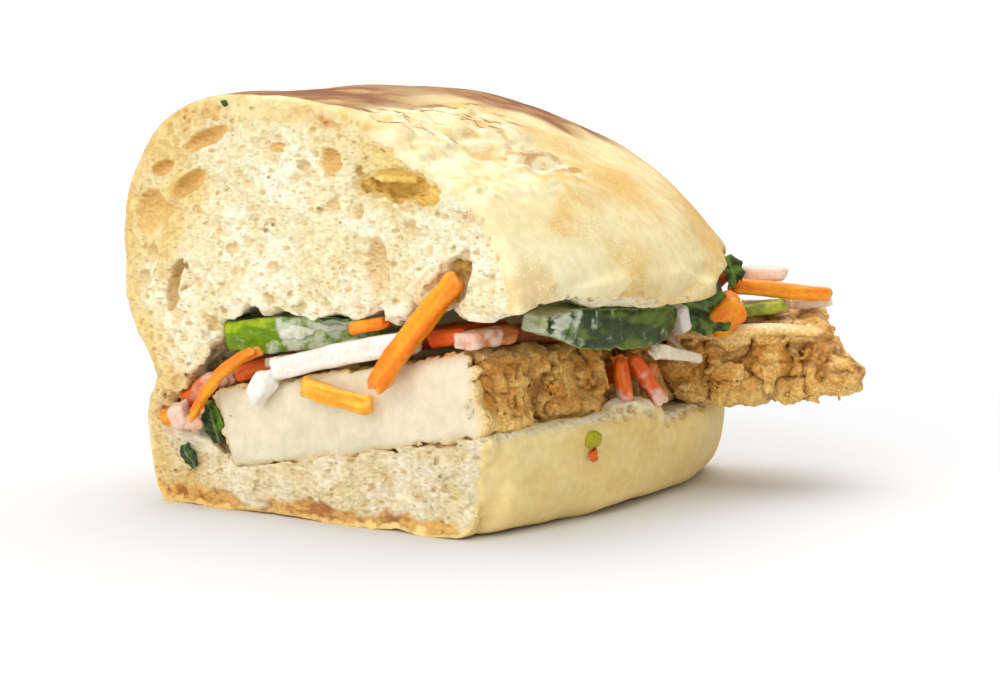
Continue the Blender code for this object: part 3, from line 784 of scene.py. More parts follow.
def bread_colour(obj, worked_depth, crust_gap):
    """Painted colour of crust and crumb, and how much of a point is crumb."""
    p, n = places(obj), normals(obj)
    x, y, z = p.T
    wander = 0.35 * layered(p, 2.5, 51, 2)
    slash = slash_band(p) * smooth(-0.7, 0.5, layered(p, 5.0, 25, 2) + layered(p, 2.2, 56, 2))
    top_strip = 1.8 * smooth(70.0, 76.0, z) * smooth(-36.0, -28.0, x) * smooth(14.0, 4.0, x)
    crumb = smooth(0.55, 1.0, crust_gap + wander - top_strip * (1.0 + 0.5 * layered(p, 4.0, 50, 2)))

    coarse, fine = layered(p, (13.0, 16.0, 12.0), 55, 3), layered(p, 3.2, 57, 3)
    crust = blend(tone(238, 222, 170), tone(228, 200, 134), smooth(-0.5, 1.0, coarse + 0.4 * fine))
    flank = smooth(62.0, 54.0, z) * smooth(-18.0, -34.0, y) * smooth(30.0, 42.0, x)
    crust = blend(crust, tone(250, 240, 196), 0.85 * flank)
    far_side = smooth(-20.0, 20.0, y) * smooth(30.0, 44.0, z)
    crust = blend(crust, tone(228, 192, 118), 0.5 * far_side * smooth(-0.6, 0.8, coarse + fine))
    golden = smooth(0.35, 1.1, coarse + 0.35 * fine) * smooth(24.0, 50.0, z)
    patch = smooth(11.0, 3.0, np.linalg.norm(p - (46.9, 21.4, 53.5), axis=1) + 2.5 * fine)
    patch = np.maximum(patch, smooth(10.0, 3.0, np.linalg.norm(p - (43.0, 0.0, 63.0), axis=1) + 3.0 * fine))
    crust = blend(crust, tone(222, 176, 98), np.clip(0.45 * golden + 0.6 * patch, 0.0, 1.0))
    streak = smooth(6.0, 3.0, np.abs(x - 5.0) + 0.9 * np.abs(y + 46.0) + 1.5 * fine) * smooth(76.0, 79.0, z)
    crust = blend(crust, tone(212, 146, 70), 0.75 * streak)
    facing = n @ VIEW_SIDE + 0.03 * fine
    turned_away = smooth(0.1, -0.5, facing) * smooth(16.0, 34.0, z)
    crust = blend(crust, tone(226, 184, 112), turned_away * (0.15 + 0.4 * smooth(-0.5, 0.9, coarse + 0.6 * fine)))
    horizon = smooth(0.3, 0.12, facing) * smooth(-0.7, 0.0, facing)
    crust = blend(crust, tone(222, 172, 92), 0.8 * horizon * smooth(44.0, 60.0, z))
    crest = n @ CREST_SIDE + 0.01 * fine
    ridge = smooth(0.23, 0.13, crest) * smooth(-0.6, -0.05, crest) * smooth(70.0, 76.0, z) * smooth(42.0, 34.0, x)
    crust = blend(crust, tone(140, 80, 30), ridge * (0.7 + 0.3 * smooth(-0.8, 0.2, coarse + fine)))
    edge = smooth(0.5, 0.15, facing) * smooth(-0.8, 0.0, facing) * smooth(-20.0, -38.0, x)
    crust = blend(crust, tone(214, 158, 84), 0.85 * edge)
    side = smooth(31.0, 22.0, z) * smooth(10.0, 30.0, x)
    crust = blend(crust, tone(240, 214, 138), 0.7 * side)
    folds = smooth(-0.1, 0.9, layered(p, (9.0, 9.0, 2.4), 58, 2))
    crust = crust * (1.0 - (side * folds)[:, None] * (0.06, 0.09, 0.2))
    # Golden bottom crust, painted lighter at the base: partly the crust's own colour, partly painted light lifting
    # the shade under the roll
    base = smooth(11.0, 2.0, z + 1.3 * layered(p, 6.0, 54, 2))
    crust = blend(crust, blend(tone(246, 204, 120), tone(255, 228, 156), smooth(0.0, 30.0, x)), 0.85 * base)
    mound = smooth(19.0, 21.0, z + 0.5 * fine) * smooth(26.0, 24.0, z) * smooth(36.0, 40.0, x)
    crust = blend(crust, tone(246, 236, 206), 0.8 * mound)
    crust = blend(crust, tone(250, 240, 206), 0.7 * slash)

    inner = blend(tone(246, 234, 192), tone(255, 248, 220), smooth(-0.6, 0.8, layered(p, 6.0, 59, 3)))
    rim = smooth(12.0, 1.5, crust_gap + 2.5 * layered(p, 6.0, 52, 2))
    rim = rim * np.maximum(smooth(-12.0, -30.0, x), 0.75 * smooth(60.0, 74.0, z))
    inner = blend(inner, tone(238, 206, 124), 0.8 * rim)
    # Painted shade: yellow where the cut face curves into the large hole
    inner = blend(inner, tone(240, 214, 130), 0.55 * smooth(9.0, 3.0, np.hypot(x - 20.0, 0.8 * (z - 69.0))))
    # Painted shade: the crumb darker towards the bottom, where the top half overhangs it
    low = smooth(34.0, 18.0, z)
    inner = inner * (1.0 - low[:, None] * (0.12, 0.16, 0.2))
    # Painted shade: warm gold on the crumb set back behind the cut face, inside the hollows
    hollow = smooth(1.3, 4.0, y - CUT_Y) * smooth(44.0, 52.0, z)
    inner = blend(inner, tone(240, 204, 104), 0.9 * hollow)
    # Painted light: the crumb lip under the top crust's edge lightened against its shade
    lip = smooth(4.5, 2.5, crust_gap) * smooth(32.0, 38.0, x) * smooth(36.0, 40.0, z) * smooth(52.0, 48.0, z)
    inner = blend(inner, tone(250, 240, 204), 0.8 * lip)
    # Painted shade: tan in the pores and recesses, by their depth below the worked surface
    pore_shade = smooth(0.3, 1.7, worked_depth + 0.15 * wander)
    inner = dent_paint(p, blend(inner, tone(220, 188, 128), 0.8 * pore_shade))
    band = smooth(3.2, 2.0, z + 1.5 * layered(p, 6.0, 60, 3) - 1.8 * smooth(9.0, 4.0, np.abs(x - 6.0)))
    inner = blend(inner, blend(tone(228, 176, 92), tone(176, 106, 40), smooth(-0.1, 0.7, fine)), 0.9 * band)
    soaked = smooth(6.0, 2.0, np.linalg.norm((p - (-32.3, -50.0, 14.3)) * (0.8, 0.6, 1.2), axis=1))
    inner = blend(inner, tone(232, 222, 196), 0.7 * soaked)
    pit = np.linalg.norm(np.cross(p - SLASH_MIDDLE, SLASH_ALONG), axis=1) + 0.9 * layered(p, 1.8, 53, 2)
    pit_span = smooth(9.5, 7.0, np.abs(y - SLASH_MIDDLE[1]))
    crust = blend(crust, tone(255, 248, 220), smooth(3.4, 2.4, pit) * pit_span)
    upper = smooth(-0.5, 0.5, z - SLASH_MIDDLE[2])
    crust = blend(crust, tone(196, 146, 84), 0.7 * smooth(1.4, 0.4, np.abs(pit - 4.1)) * pit_span * upper)
    crust = blend(crust, tone(230, 186, 100), 0.8 * smooth(2.0, 0.4, np.abs(pit - 5.4)) * pit_span * (1.0 - upper))
    blisters = smooth(34.0, 46.0, z + 4.0 * coarse) * smooth(-0.5, 0.6, coarse + fine) * (1.0 - slash)
    return blend(crust, inner, crumb), crumb, blisters


def paint_bread(obj, field, worked, crust_tree):
    p = places(obj)
    crust_gap, _ = distances(crust_tree, p, 14.0)
    crust_gap = np.maximum(crust_gap - np.abs(field.cad_depth(p)), 0.0)
    depth = np.maximum(0.0, -sample(worked, field.coarse_axes, p))
    colour, crumb, blisters = bread_colour(obj, depth, crust_gap)
    put_colour(obj, "colour", colour)
    put_value(obj, "crumb", crumb)
    put_value(obj, "blisters", blisters)


def bread_material():
    look = Shader("baked bread", Roughness=0.62, Subsurface_Weight=0.1,
                  Subsurface_Scale=0.001, Specular_IOR_Level=0.3)
    look.bsdf.inputs["Subsurface Radius"].default_value = (1.0, 0.7, 0.35)
    crumb, base = look.attribute("crumb"), look.attribute("colour", "Color")
    speck = look.math("MULTIPLY", look.ranged(look.cell(0.9), 0.4, 0.14), look.attribute("blisters"))
    skin = look.mix(speck, base, (1.22, 1.26, 1.3), "MULTIPLY")
    mottle = look.ranged(look.noise(2.2, 5.0, 0.62), 0.35, 0.68)
    skin = look.mix(0.4, skin, look.mix(mottle, (0.88, 0.8, 0.64), (1.1, 1.1, 1.1)), "MULTIPLY")
    # Painted shade and highlight: the crumb darker in its fine wrinkles and pits and lighter between them, following
    # its bump
    wrinkle = look.ranged(look.noise(0.8, 5.0, 0.66, stretch=(0.6, 0.6, 1.3)), 0.34, 0.56)
    pitted = look.math("MULTIPLY", wrinkle, look.ranged(look.cell(0.55), 0.05, 0.35, 0.5, 1.0))
    airy = look.mix(0.7, base, look.mix(pitted, (0.93, 0.87, 0.74), (1.08, 1.08, 1.08)), "MULTIPLY")
    # Painted shadows: dark tan spots at small and large pores, which the bump also presses in
    some = look.ranged(look.noise(3.5, 3.0, 0.6), 0.42, 0.6)
    small = look.ranged(look.cell(1.3, stretch=(0.6, 0.6, 1.4)), 0.3, 0.14)
    large = look.ranged(look.cell(3.4, stretch=(0.65, 0.65, 1.3)), 0.2, 0.13)
    holes = look.math("MAXIMUM", look.math("MULTIPLY", small, some), large)
    airy = look.mix(look.math("MULTIPLY", holes, 0.75), airy, (0.74, 0.58, 0.36), "MULTIPLY")
    colour = look.mix(crumb, skin, airy)

    crumb_height = look.math("MULTIPLY", look.math("SUBTRACT", pitted, look.math("MULTIPLY", holes, 1.5)), crumb)
    bumps = look.bump(look.math("ADD", speck, look.noise(1.6, 4.0, 0.6)), 0.14, 0.6)
    return look.finish(Base_Color=colour, Normal=look.bump(crumb_height, 0.25, 0.6, bumps))


def make_bread():
    field, worked, crust_tree, vertices, faces = bread_mesh()
    obj = make_object("bread_roll_half", *largest_body(vertices, faces))
    thin_out(obj, BREAD_TRIANGLES)
    paint_bread(obj, field, worked, crust_tree)
    add_piece(obj, bread_material(), "bread", "bread")


# ------------------------------------------------------------------------------------ fried tofu
def block_axes(vertices, triangles):
    """A block's own axes: along its length, its depth and its thickness."""
    corners = vertices[triangles]
    cross = np.cross(corners[:, 1] - corners[:, 0], corners[:, 2] - corners[:, 0])
    area = np.linalg.norm(cross, axis=1, keepdims=True)
    _, found = np.linalg.eigh((cross / np.maximum(area, 1e-9)).T @ cross)
    axes = found.T
    main = np.abs(axes).argmax(1)
    return axes * np.sign(axes[np.arange(3), main])[:, None]


def crags(p, seed, lump=7.0):
    """Minced, crinkled fried skin: relief in millimetres and how much of a point is in a crease."""
    bent = p + 0.9 * np.stack([layered(p, 4.0, seed + k, 2) for k in range(3)], 1)
    swells = [np.abs(noise(bent, lump * share, seed + 9 * step))
              for step, share in enumerate((1.0, 0.5, 0.26, 0.14))]
    bulge = 2.0 * swells[0] + 1.5 * swells[1] + 0.9 * swells[2] + 0.4 * swells[3]
    pits = smooth(0.2, 0.03, swells[0]) + 0.7 * smooth(0.16, 0.02, swells[1])
    return 1.4 - bulge + 0.9 * pits, np.clip(0.8 * smooth(1.5, 0.4, bulge) + 0.6 * pits, 0.0, 1.0)


def slab_parts(field, p):
    """A slab's own coordinates, 0 to 1 from its left, front and lower faces."""
    axes = block_axes(field.vertices, field.triangles)
    own = field.vertices @ axes.T
    low, high = own.min(0), own.max(0)
    return (p @ axes.T - low) / (high - low)


def fried_share(p, cut):
    return smooth(0.7, 1.7, p[:, 1] - CUT_Y + 0.5 * layered(p, 3.0, 61, 2)) if cut else np.ones(len(p))


def slab_point(field, share):
    """A point from a slab's own coordinates, given as shares from 0 to 1."""
    axes = block_axes(field.vertices, field.triangles)
    own = field.vertices @ axes.T
    low, high = own.min(0), own.max(0)
    return (low + (high - low) * share) @ axes


def make_ledge(field):
    """The lifted skin along the slab's upper front edge, with a groove under it."""
    axes = block_axes(field.vertices, field.triangles).T
    for step in np.linspace(0.34, 0.86, 16):
        wave = 0.02 * math.sin(19.0 * step)
        thick = 1.9 - 2.2 * (step - 0.34)
        field.ball(slab_point(field, (step, 0.0, 0.86 - 0.13 * thick + wave)), (2.2, 1.9, 0.9), axes, soft=0.2)
        field.ball(slab_point(field, (step, 0.1, 0.93 + wave)), (3.0, 3.3, thick), axes, cut=False, soft=0.5)


def make_tofu(name, node, seed, cut, triangles, flap=()):
    field = Field(node, 0.8, 0.36, margin=8.0 if flap else 3.0)
    near, p = field.near(2.4)
    relief, _ = crags(p, seed)
    share, own = fried_share(p, cut), slab_parts(field, p)
    calm = 1.0 - 0.6 * smooth(0.26, 0.05, own[:, 2]) - 0.7 * smooth(0.84, 0.98, own[:, 2])
    relief = share * (relief * calm + 0.2 * noise(p, 0.8, seed + 3)) + (1.0 - share) * 0.08 * layered(p, 5.0, seed, 2)
    field.values[near] += relief
    for centre, half, angle, cuts in flap:
        field.ball(np.array(centre), half, turned(angle, "Z"), cut=cuts, soft=1.2)
    if flap:
        near, p = field.near(1.5)
        field.values[near] += 0.2 * crags(p, seed + 40, 4.5)[0]
        make_ledge(field)
    if cut:
        pits = np.random.default_rng(seed)
        for _ in range(26):
            x, z = pits.uniform(field.low[0], field.high[0]), pits.uniform(field.low[2], field.high[2])
            half = pits.uniform(0.25, 0.5, 3) * (1.5, 0.9, 0.8)
            field.ball(np.array((x, CUT_Y - 0.05, z)), half, turned(pits.uniform(0, 180), "Y"))
    obj = make_object(name, *largest_body(*field.mesh()))
    thin_out(obj, triangles)

    p = places(obj)
    _, crease = crags(p, seed)
    share, own = fried_share(p, cut), slab_parts(field, p)
    fried = blend(tone(222, 162, 74), tone(250, 206, 126), smooth(-0.7, 0.9, layered(p, 3.0, 62, 3)))
    if cut:
        fried = fried * (0.94, 0.9, 0.8)
    fried = blend(fried, tone(252, 214, 130), 0.8 * smooth(0.36, 0.12, own[:, 2] + 0.05 * layered(p, 4.0, 68, 2)))
    top = smooth(0.86, 0.99, own[:, 2] + 0.02 * layered(p, 2.5, 64, 2))
    skin = blend(tone(232, 190, 116), tone(246, 222, 166), smooth(-0.3, 0.8, layered(p, 4.0, 65, 3)))
    fried = blend(fried, skin, top)
    if cut:
        edge = smooth(5.5, 2.5, p[:, 1] - CUT_Y + layered(p, 3.0, 69, 2))
        fried = blend(fried, tone(255, 222, 150), 0.85 * edge)
        crease = crease * (1.0 - 0.75 * edge)
    else:
        ledge = smooth(0.76, 0.84, own[:, 2]) * smooth(0.3, 0.1, own[:, 1]) * smooth(0.3, 0.36, own[:, 0])
        fried = blend(fried, tone(250, 212, 140), 0.85 * ledge)
        fried = blend(fried, tone(255, 246, 218), ledge * smooth(0.97, 1.03, own[:, 2]))
        crease = crease * (1.0 - ledge)
    crease = crease * (1.0 - 0.7 * top)
    # Painted shade: dark brown in the creases between the crags
    fried = blend(fried, tone(112, 62, 18), 0.9 * crease)
    curd = blend(tone(236, 224, 194), tone(220, 210, 178), smooth(-0.4, 1.0, layered(p, 9.0, 63, 3)))
    # Painted shade: greyer, greener curd towards the slab's left end
    curd = blend(curd, tone(206, 202, 164), 0.5 * smooth(0.0, 1.0, layered(p, 5.0, 66, 3)) * smooth(0.35, 0.0, own[:, 0]))
    put_colour(obj, "colour", blend(curd, fried, share))
    put_value(obj, "fried", share)
    add_piece(obj, tofu_material(name), "tofu", node)


def tofu_material(name):
    look = Shader(name + " finish", Roughness=0.5, Subsurface_Weight=0.12,
                  Subsurface_Scale=0.0015, Specular_IOR_Level=0.35)
    look.bsdf.inputs["Subsurface Radius"].default_value = (1.0, 0.6, 0.35)
    fried = look.attribute("fried")
    base = look.attribute("colour", "Color")
    granules = look.noise(0.7, 5.0, 0.66)
    speck = look.ranged(granules, 0.34, 0.66)
    shade = look.mix(look.math("MULTIPLY", fried, 0.8), (1.0, 1.0, 1.0),
                     look.mix(speck, (0.66, 0.55, 0.38), (1.26, 1.24, 1.16)))
    faint = look.mix(look.ranged(look.noise(2.5, 5.0, 0.6), 0.3, 0.7), (0.93, 0.92, 0.9), (1.04, 1.04, 1.05))
    colour = look.mix(1.0, look.mix(1.0, base, shade, "MULTIPLY"), faint, "MULTIPLY")
    height = look.math("MULTIPLY", granules, look.ranged(fried, 0.0, 1.0, 0.08, 1.0))
    return look.finish(Base_Color=colour, Normal=look.bump(height, 0.6, 0.8))


# ------------------------------------------------------------------------- strips, sticks, leaves
def strip_axes(vertices):
    """A strip's middle and its own axes, longest first."""
    middle = vertices.mean(0)
    _, _, axes = np.linalg.svd(vertices - middle, full_matrices=False)
    return middle, axes


def moist_material(name, roughness=0.3, soft=0.2, reach=0.0015, radius=(1.0, 0.5, 0.25),
                   grain=0.25, dark=0.7, coat=0.2):
    """Wet flesh whose colour is painted on the mesh; finer mottling comes from noise."""
    look = Shader(name, Roughness=roughness, Subsurface_Weight=soft, Subsurface_Scale=reach,
                  Coat_Weight=coat, Coat_Roughness=0.15, Specular_IOR_Level=0.25)
    look.bsdf.inputs["Subsurface Radius"].default_value = radius
    mottle = look.noise(1.0, 6.0, 0.68)
    colour = look.mix(0.55, look.attribute("colour", "Color"),
                      look.mix(look.ranged(mottle, 0.3, 0.7), (dark, 0.9 * dark, 0.8 * dark), (1.14, 1.14, 1.14)),
                      "MULTIPLY")
    return look.finish(Base_Color=colour, Normal=look.bump(mottle, 2.0 * grain, 0.7))


def grow_stick(name, node, seed, ragged=0.14, lumps=0.16, grid=0.28, triangles=5600):
    """A cut stick with fibres along it, uneven edges and torn ends."""
    field = Field(node, 0.6, grid, margin=1.8)
    near, p = field.near(1.0)
    middle, axes = strip_axes(field.vertices)
    own = (p - middle) @ axes.T
    half = np.abs((field.vertices - middle) @ axes.T).max(0)
    ends = smooth(0.8, 1.0, np.abs(own[:, 0]) / half[0])
    relief = ragged * layered(own, (7.0, 1.5, 1.5), seed, 2)
    relief += lumps * layered(p, 4.5, seed + 3, 2) + ends * 0.35 * layered(p, 1.4, seed + 5, 2)
    field.values[near] += relief
    obj = make_object(name, *field.mesh())
    thin_out(obj, triangles)
    p = places(obj)
    own = (p - middle) @ axes.T / half
    return obj, p, own


# Painted shade: brown is carrot orange darkened for sticks lying in shade
CARROT_TINTS = dict(
    bright=(tone(255, 132, 4), tone(255, 172, 28)), dark=(tone(222, 84, 6), tone(244, 120, 24)),
    brown=(tone(176, 86, 16), tone(208, 126, 48)), gold=(tone(255, 164, 20), tone(255, 206, 70)),
)
CARROT_KINDS = {1: "bright", 2: "bright", 3: "dark", 4: "bright", 5: "gold", 6: "bright", 7: "brown",
                8: "dark", 9: "brown", 10: "brown", 11: "dark", 12: "dark", 13: "dark",
                14: "bright", 15: "bright", 16: "brown", 17: "dark", 18: "dark"}
MILKY_TIPS = {7: 1, 9: -1, 12: 1, 13: 1, 3: -1}


def make_carrots(material):
    for number in range(1, 19):
        node = f"carrot_stick_{number:02d}"
        obj, p, own = grow_stick(f"pickled_carrot_{number:02d}", node, 100 + number)
        deep, light = CARROT_TINTS[CARROT_KINDS[number]]
        colour = blend(deep, light, smooth(-0.8, 1.0, layered(own, (0.9, 0.5, 0.5), 200 + number, 3)))
        colour = blend(colour, tone(252, 178, 96), 0.45 * smooth(0.86, 1.0, np.abs(own[:, 0])))
        if number in MILKY_TIPS:
            start, end = cad_ends(node)
            along = (p - start) @ unit(end - start) / np.linalg.norm(end - start)
            along = along if MILKY_TIPS[number] > 0 else 1.0 - along
            patch = smooth(0.45, 0.95, along + 0.3 * layered(p, 2.2, 300 + number, 2))
            colour = blend(colour, tone(246, 214, 194), 0.85 * patch)
        put_colour(obj, "colour", colour)
        add_piece(obj, material, "carrot", node)


def cad_ends(node):
    """The two end points of a stick's CAD solid: the nearer the knife cut, or the higher, first."""
    vertices, _ = cad_mesh(node)
    middle, axes = strip_axes(vertices)
    along = (vertices - middle) @ axes[0]
    ends = [middle + axes[0] * along.min(), middle + axes[0] * along.max()]
    return sorted(ends, key=lambda end: end[1] - end[2])


DAIKON_TINTS = {1: (250, 248, 242), 2: (246, 244, 238), 3: (240, 228, 206), 4: (226, 222, 206),
                5: (242, 232, 210), 6: (236, 230, 218), 7: (236, 208, 192), 8: (246, 226, 208),
                9: (240, 226, 206), 10: (238, 204, 184), 11: (226, 206, 166), 12: (228, 220, 198),
                13: (228, 220, 198)}


def make_daikons(material):
    for number in range(1, 14):
        node = f"daikon_stick_{number:02d}"
        obj, p, own = grow_stick(f"pickled_daikon_{number:02d}", node, 400 + number,
                                 ragged=0.08, lumps=0.1)
        if number == 2:
            p = p.mean(0) + (p - p.mean(0)) * (1.0, 1.0, 1.35) + (0.9, 0.0, 0.9)
            obj.data.vertices.foreach_set("co", (p * MM).astype(np.float32).ravel())
            obj.data.update()
        body = tone(*DAIKON_TINTS[number])
        colour = blend(body, body * (0.93, 0.9, 0.84), smooth(-0.2, 1.2, layered(p, 3.0, 460 + number, 3)))
        put_colour(obj, "colour", colour)
        add_piece(obj, material, "daikon", node)


def make_green_stick(material):
    obj, p, own = grow_stick("green_stem", "green_stick", 500)
    colour = blend(tone(120, 140, 20), tone(176, 184, 60), smooth(-0.8, 0.8, layered(p, 2.0, 501, 3)))
    put_colour(obj, "colour", blend(colour, tone(70, 84, 14), 0.6 * smooth(0.0, 0.9, -own[:, 1])))
    add_piece(obj, material, "green_stick", "green_stick")


CUCUMBER_MILK = dict(
    cucumber_front=lambda p: smooth(-13.0, -9.0, p[:, 0] + 1.5 * layered(p, 3.0, 71, 2)),
    cucumber_side=lambda p: 0.8 * smooth(-20.0, -32.0, p[:, 1] + 4.0 * layered(p, 6.0, 72, 2)),
)


SIDE_STRIP_Z = 41.0


def make_cucumber(name, node, skin_side, peel, peel_light, seed, material):
    field = Field(node, 0.6, 0.3, margin=1.8)
    near, p = field.near(0.9)
    field.values[near] += 0.1 * layered(p, (2.0, 2.0, 1.2), seed, 2) + 0.18 * layered(p, 6.0, seed + 1, 2)
    obj = make_object(name, *field.mesh())
    thin_out(obj, 26000)
    p = places(obj)
    if node == "cucumber_side":
        taper = 1.0 - 0.62 * smooth(-24.0, -42.0, p[:, 1]) - 0.25 * smooth(0.0, 8.0, p[:, 1])
        p[:, 2] = SIDE_STRIP_Z + (p[:, 2] - SIDE_STRIP_Z) * taper
        obj.data.vertices.foreach_set("co", (p * MM).astype(np.float32).ravel())
        obj.data.update()
    skin_side = unit(np.array(skin_side))
    facing = normals(obj) @ skin_side
    depth = (field.vertices @ skin_side).max() - p @ skin_side
    skin = smooth(0.35, 0.62, facing + 0.05 * layered(p, 1.5, seed + 3, 2)) * smooth(3.6, 2.0, depth)
    streaks = layered(p, (7.0, 7.0, 1.6) if skin_side[1] else (1.6, 7.0, 1.6), seed + 4, 3)
    colour = blend(peel, peel_light, smooth(-0.3, 1.0, streaks))
    flesh = blend(tone(186, 202, 140), tone(150, 172, 96), smooth(-0.5, 1.0, layered(p, 2.5, seed + 5, 2)))
    colour = blend(flesh, colour, skin)
    put_colour(obj, "colour", colour)
    put_value(obj, "milk", CUCUMBER_MILK[node](p))
    add_piece(obj, material, "cucumber", node)


LEAF_LOOKS = {1: (1.6, (4.9, -10.4, 0.7)), 5: (1.15, (0.0, 0.0, 0.0))}


def make_leaf(name, node, seed, material, looks, dark=tone(26, 52, 6), light=tone(96, 136, 26)):
    field = Field(node, 0.35, 0.2, margin=1.6)
    near, p = field.near(1.1)
    middle, axes = strip_axes(field.vertices)
    own = (p - middle) @ axes.T
    size = np.abs((field.vertices - middle) @ axes.T).max(0)
    crumple = 0.5 * layered(p, 3.0, seed, 2)
    rim = smooth(0.55, 1.0, np.abs(own[:, 1]) / size[1])
    field.values[near] += 0.25 * np.abs(crumple) + rim * 0.5 * smooth(-0.2, 0.8, layered(p, 1.6, seed + 2, 2))
    obj = make_object(name, *field.mesh())
    thin_out(obj, 4200)
    p = places(obj)
    p = p + np.outer(0.45 * layered(p, 2.6, seed + 4, 2), axes[2])
    size, shift = looks
    p = middle + (p - middle) * size + shift
    obj.data.vertices.foreach_set("co", (p * MM).astype(np.float32).ravel())
    obj.data.update()
    own = (p - middle - shift) @ axes.T / size
    side_veins = np.abs(np.sin(2.4 * (own[:, 0] + 0.9 * np.abs(own[:, 1]))))
    vein = np.maximum(smooth(0.35, 0.1, np.abs(own[:, 1])), 0.6 * smooth(0.25, 0.05, side_veins))
    colour = blend(dark, light, smooth(-0.4, 1.1, layered(p, 1.8, seed + 5, 3)))
    put_colour(obj, "colour", blend(colour, tone(128, 156, 70), 0.7 * vein))
    add_piece(obj, material, "herb", node)


def peel_material():
    """Glossy peel under smears of mayonnaise; the milk attribute says where they gather."""
    look = Shader("cucumber peel and flesh", Roughness=0.3, Subsurface_Weight=0.05,
                  Subsurface_Scale=0.001, Coat_Weight=0.06, Coat_Roughness=0.08,
                  Specular_IOR_Level=0.2)
    look.bsdf.inputs["Subsurface Radius"].default_value = (0.5, 1.0, 0.3)
    base, milk = look.attribute("colour", "Color"), look.attribute("milk")
    streaks = look.noise(1.6, 5.0, 0.62)
    base = look.mix(0.7, base, look.mix(look.ranged(streaks, 0.3, 0.7), (0.62, 0.66, 0.5),
                                        (1.25, 1.2, 1.15)), "MULTIPLY")
    clouds = look.math("ADD", look.noise(3.0, 5.0, 0.66), look.ranged(milk, 0.0, 1.0, 0.0, 0.2))
    smear = look.ranged(clouds, 0.56, 0.76, 0.0, 0.85)
    colour = look.mix(smear, base, tuple(tone(214, 222, 196)))
    height = look.math("ADD", look.math("MULTIPLY", smear, 1.2), look.noise(0.8, 4.0, 0.6))
    return look.finish(Base_Color=colour, Normal=look.bump(height, 0.3, 0.6))


def make_vegetables():
    carrot = moist_material("pickled carrot flesh", 0.38, 0.1, 0.001, (1.0, 0.32, 0.08), 0.3, 0.78)
    daikon = moist_material("pickled daikon flesh", 0.3, 0.35, 0.002, (1.0, 0.9, 0.75), 0.2, 0.9, 0.3)
    peel = peel_material()
    herb = moist_material("herb leaf", 0.35, 0.05, 0.0006, (0.4, 1.0, 0.2), 0.2, 0.6, 0.3)
    make_carrots(carrot)
    make_daikons(daikon)
    make_green_stick(herb)
    make_cucumber("cucumber_strip_front", "cucumber_front", (0.21, -0.98, 0.0),
                  tone(112, 148, 0), tone(166, 192, 22), 510, peel)
    make_cucumber("cucumber_strip_side", "cucumber_side", (1.0, 0.0, 0.0),
                  tone(34, 62, 0), tone(92, 118, 14), 530, peel)
    for number in range(1, 7):
        make_leaf(f"herb_sprig_{number:02d}", f"herb_leaf_{number:02d}", 550 + 10 * number, herb,
                  LEAF_LOOKS.get(number, (1.0, (0.0, 0.0, 0.0))))


# ------------------------------------------------------------------------ mayonnaise and crumbs
def make_blobs(name, node, balls, colour, material, slot):
    """Soft union of small ellipsoids on a node's grid."""
    field = Field(node, 0.8, 0.25, margin=6.0)
    field.values[:] = 4.0
    for centre, half in balls:
        field.ball(np.asarray(centre, float), half, cut=False, soft=0.5)
    obj = make_object(name, *field.mesh())
    thin_out(obj, 12000)
    p = places(obj)
    shade = smooth(-0.6, 0.9, layered(p, 2.0, 601, 3))
    put_colour(obj, "colour", blend(colour, colour * (0.84, 0.84, 0.74), shade))
    add_piece(obj, material, slot)


def make_mayonnaise():
    rng = np.random.default_rng(71)
    mayo = moist_material("mayonnaise", 0.22, 0.3, 0.0015, (1.0, 0.95, 0.8), 0.15, 0.92, 0.5)
    front = []
    for _ in range(26):
        x = rng.uniform(-9.0, 8.5)
        z = 36.4 + 0.225 * (x + 8.0) + rng.uniform(-1.2, 2.2)
        front.append(((x, -46.5 + 0.217 * (x + 8.0), z), rng.uniform(0.5, 1.0, 3) * (2.0, 0.5, 0.8)))
    make_blobs("mayonnaise_on_front_cucumber", "cucumber_front", front, tone(226, 232, 212), mayo, "cucumber")
    side = []
    for number in range(24):
        y = rng.normal(-31.0, 2.2) if number % 3 else rng.normal(-1.0, 1.4)
        side.append(((50.0 - 0.02 * (y + 20.0) ** 2 / 10.0, y, 40.8 + rng.uniform(-1.6, 1.8)),
                     rng.uniform(0.5, 1.0, 3) * (0.45, 1.7, 0.6)))
    make_blobs("mayonnaise_on_side_cucumber", "cucumber_side", side, tone(218, 226, 206), mayo, "cucumber")
    mush = [((-29.0 + rng.uniform(-3.4, 3.0), -52.0 + rng.uniform(-0.6, 0.4), 18.4 + rng.uniform(-2.2, 2.0)),
             rng.uniform(0.5, 1.3, 3) * (1.2, 0.7, 0.9)) for _ in range(16)]
    make_blobs("mayonnaise_among_pickles", "daikon_stick_10", mush, tone(232, 186, 160), mayo, "daikon")


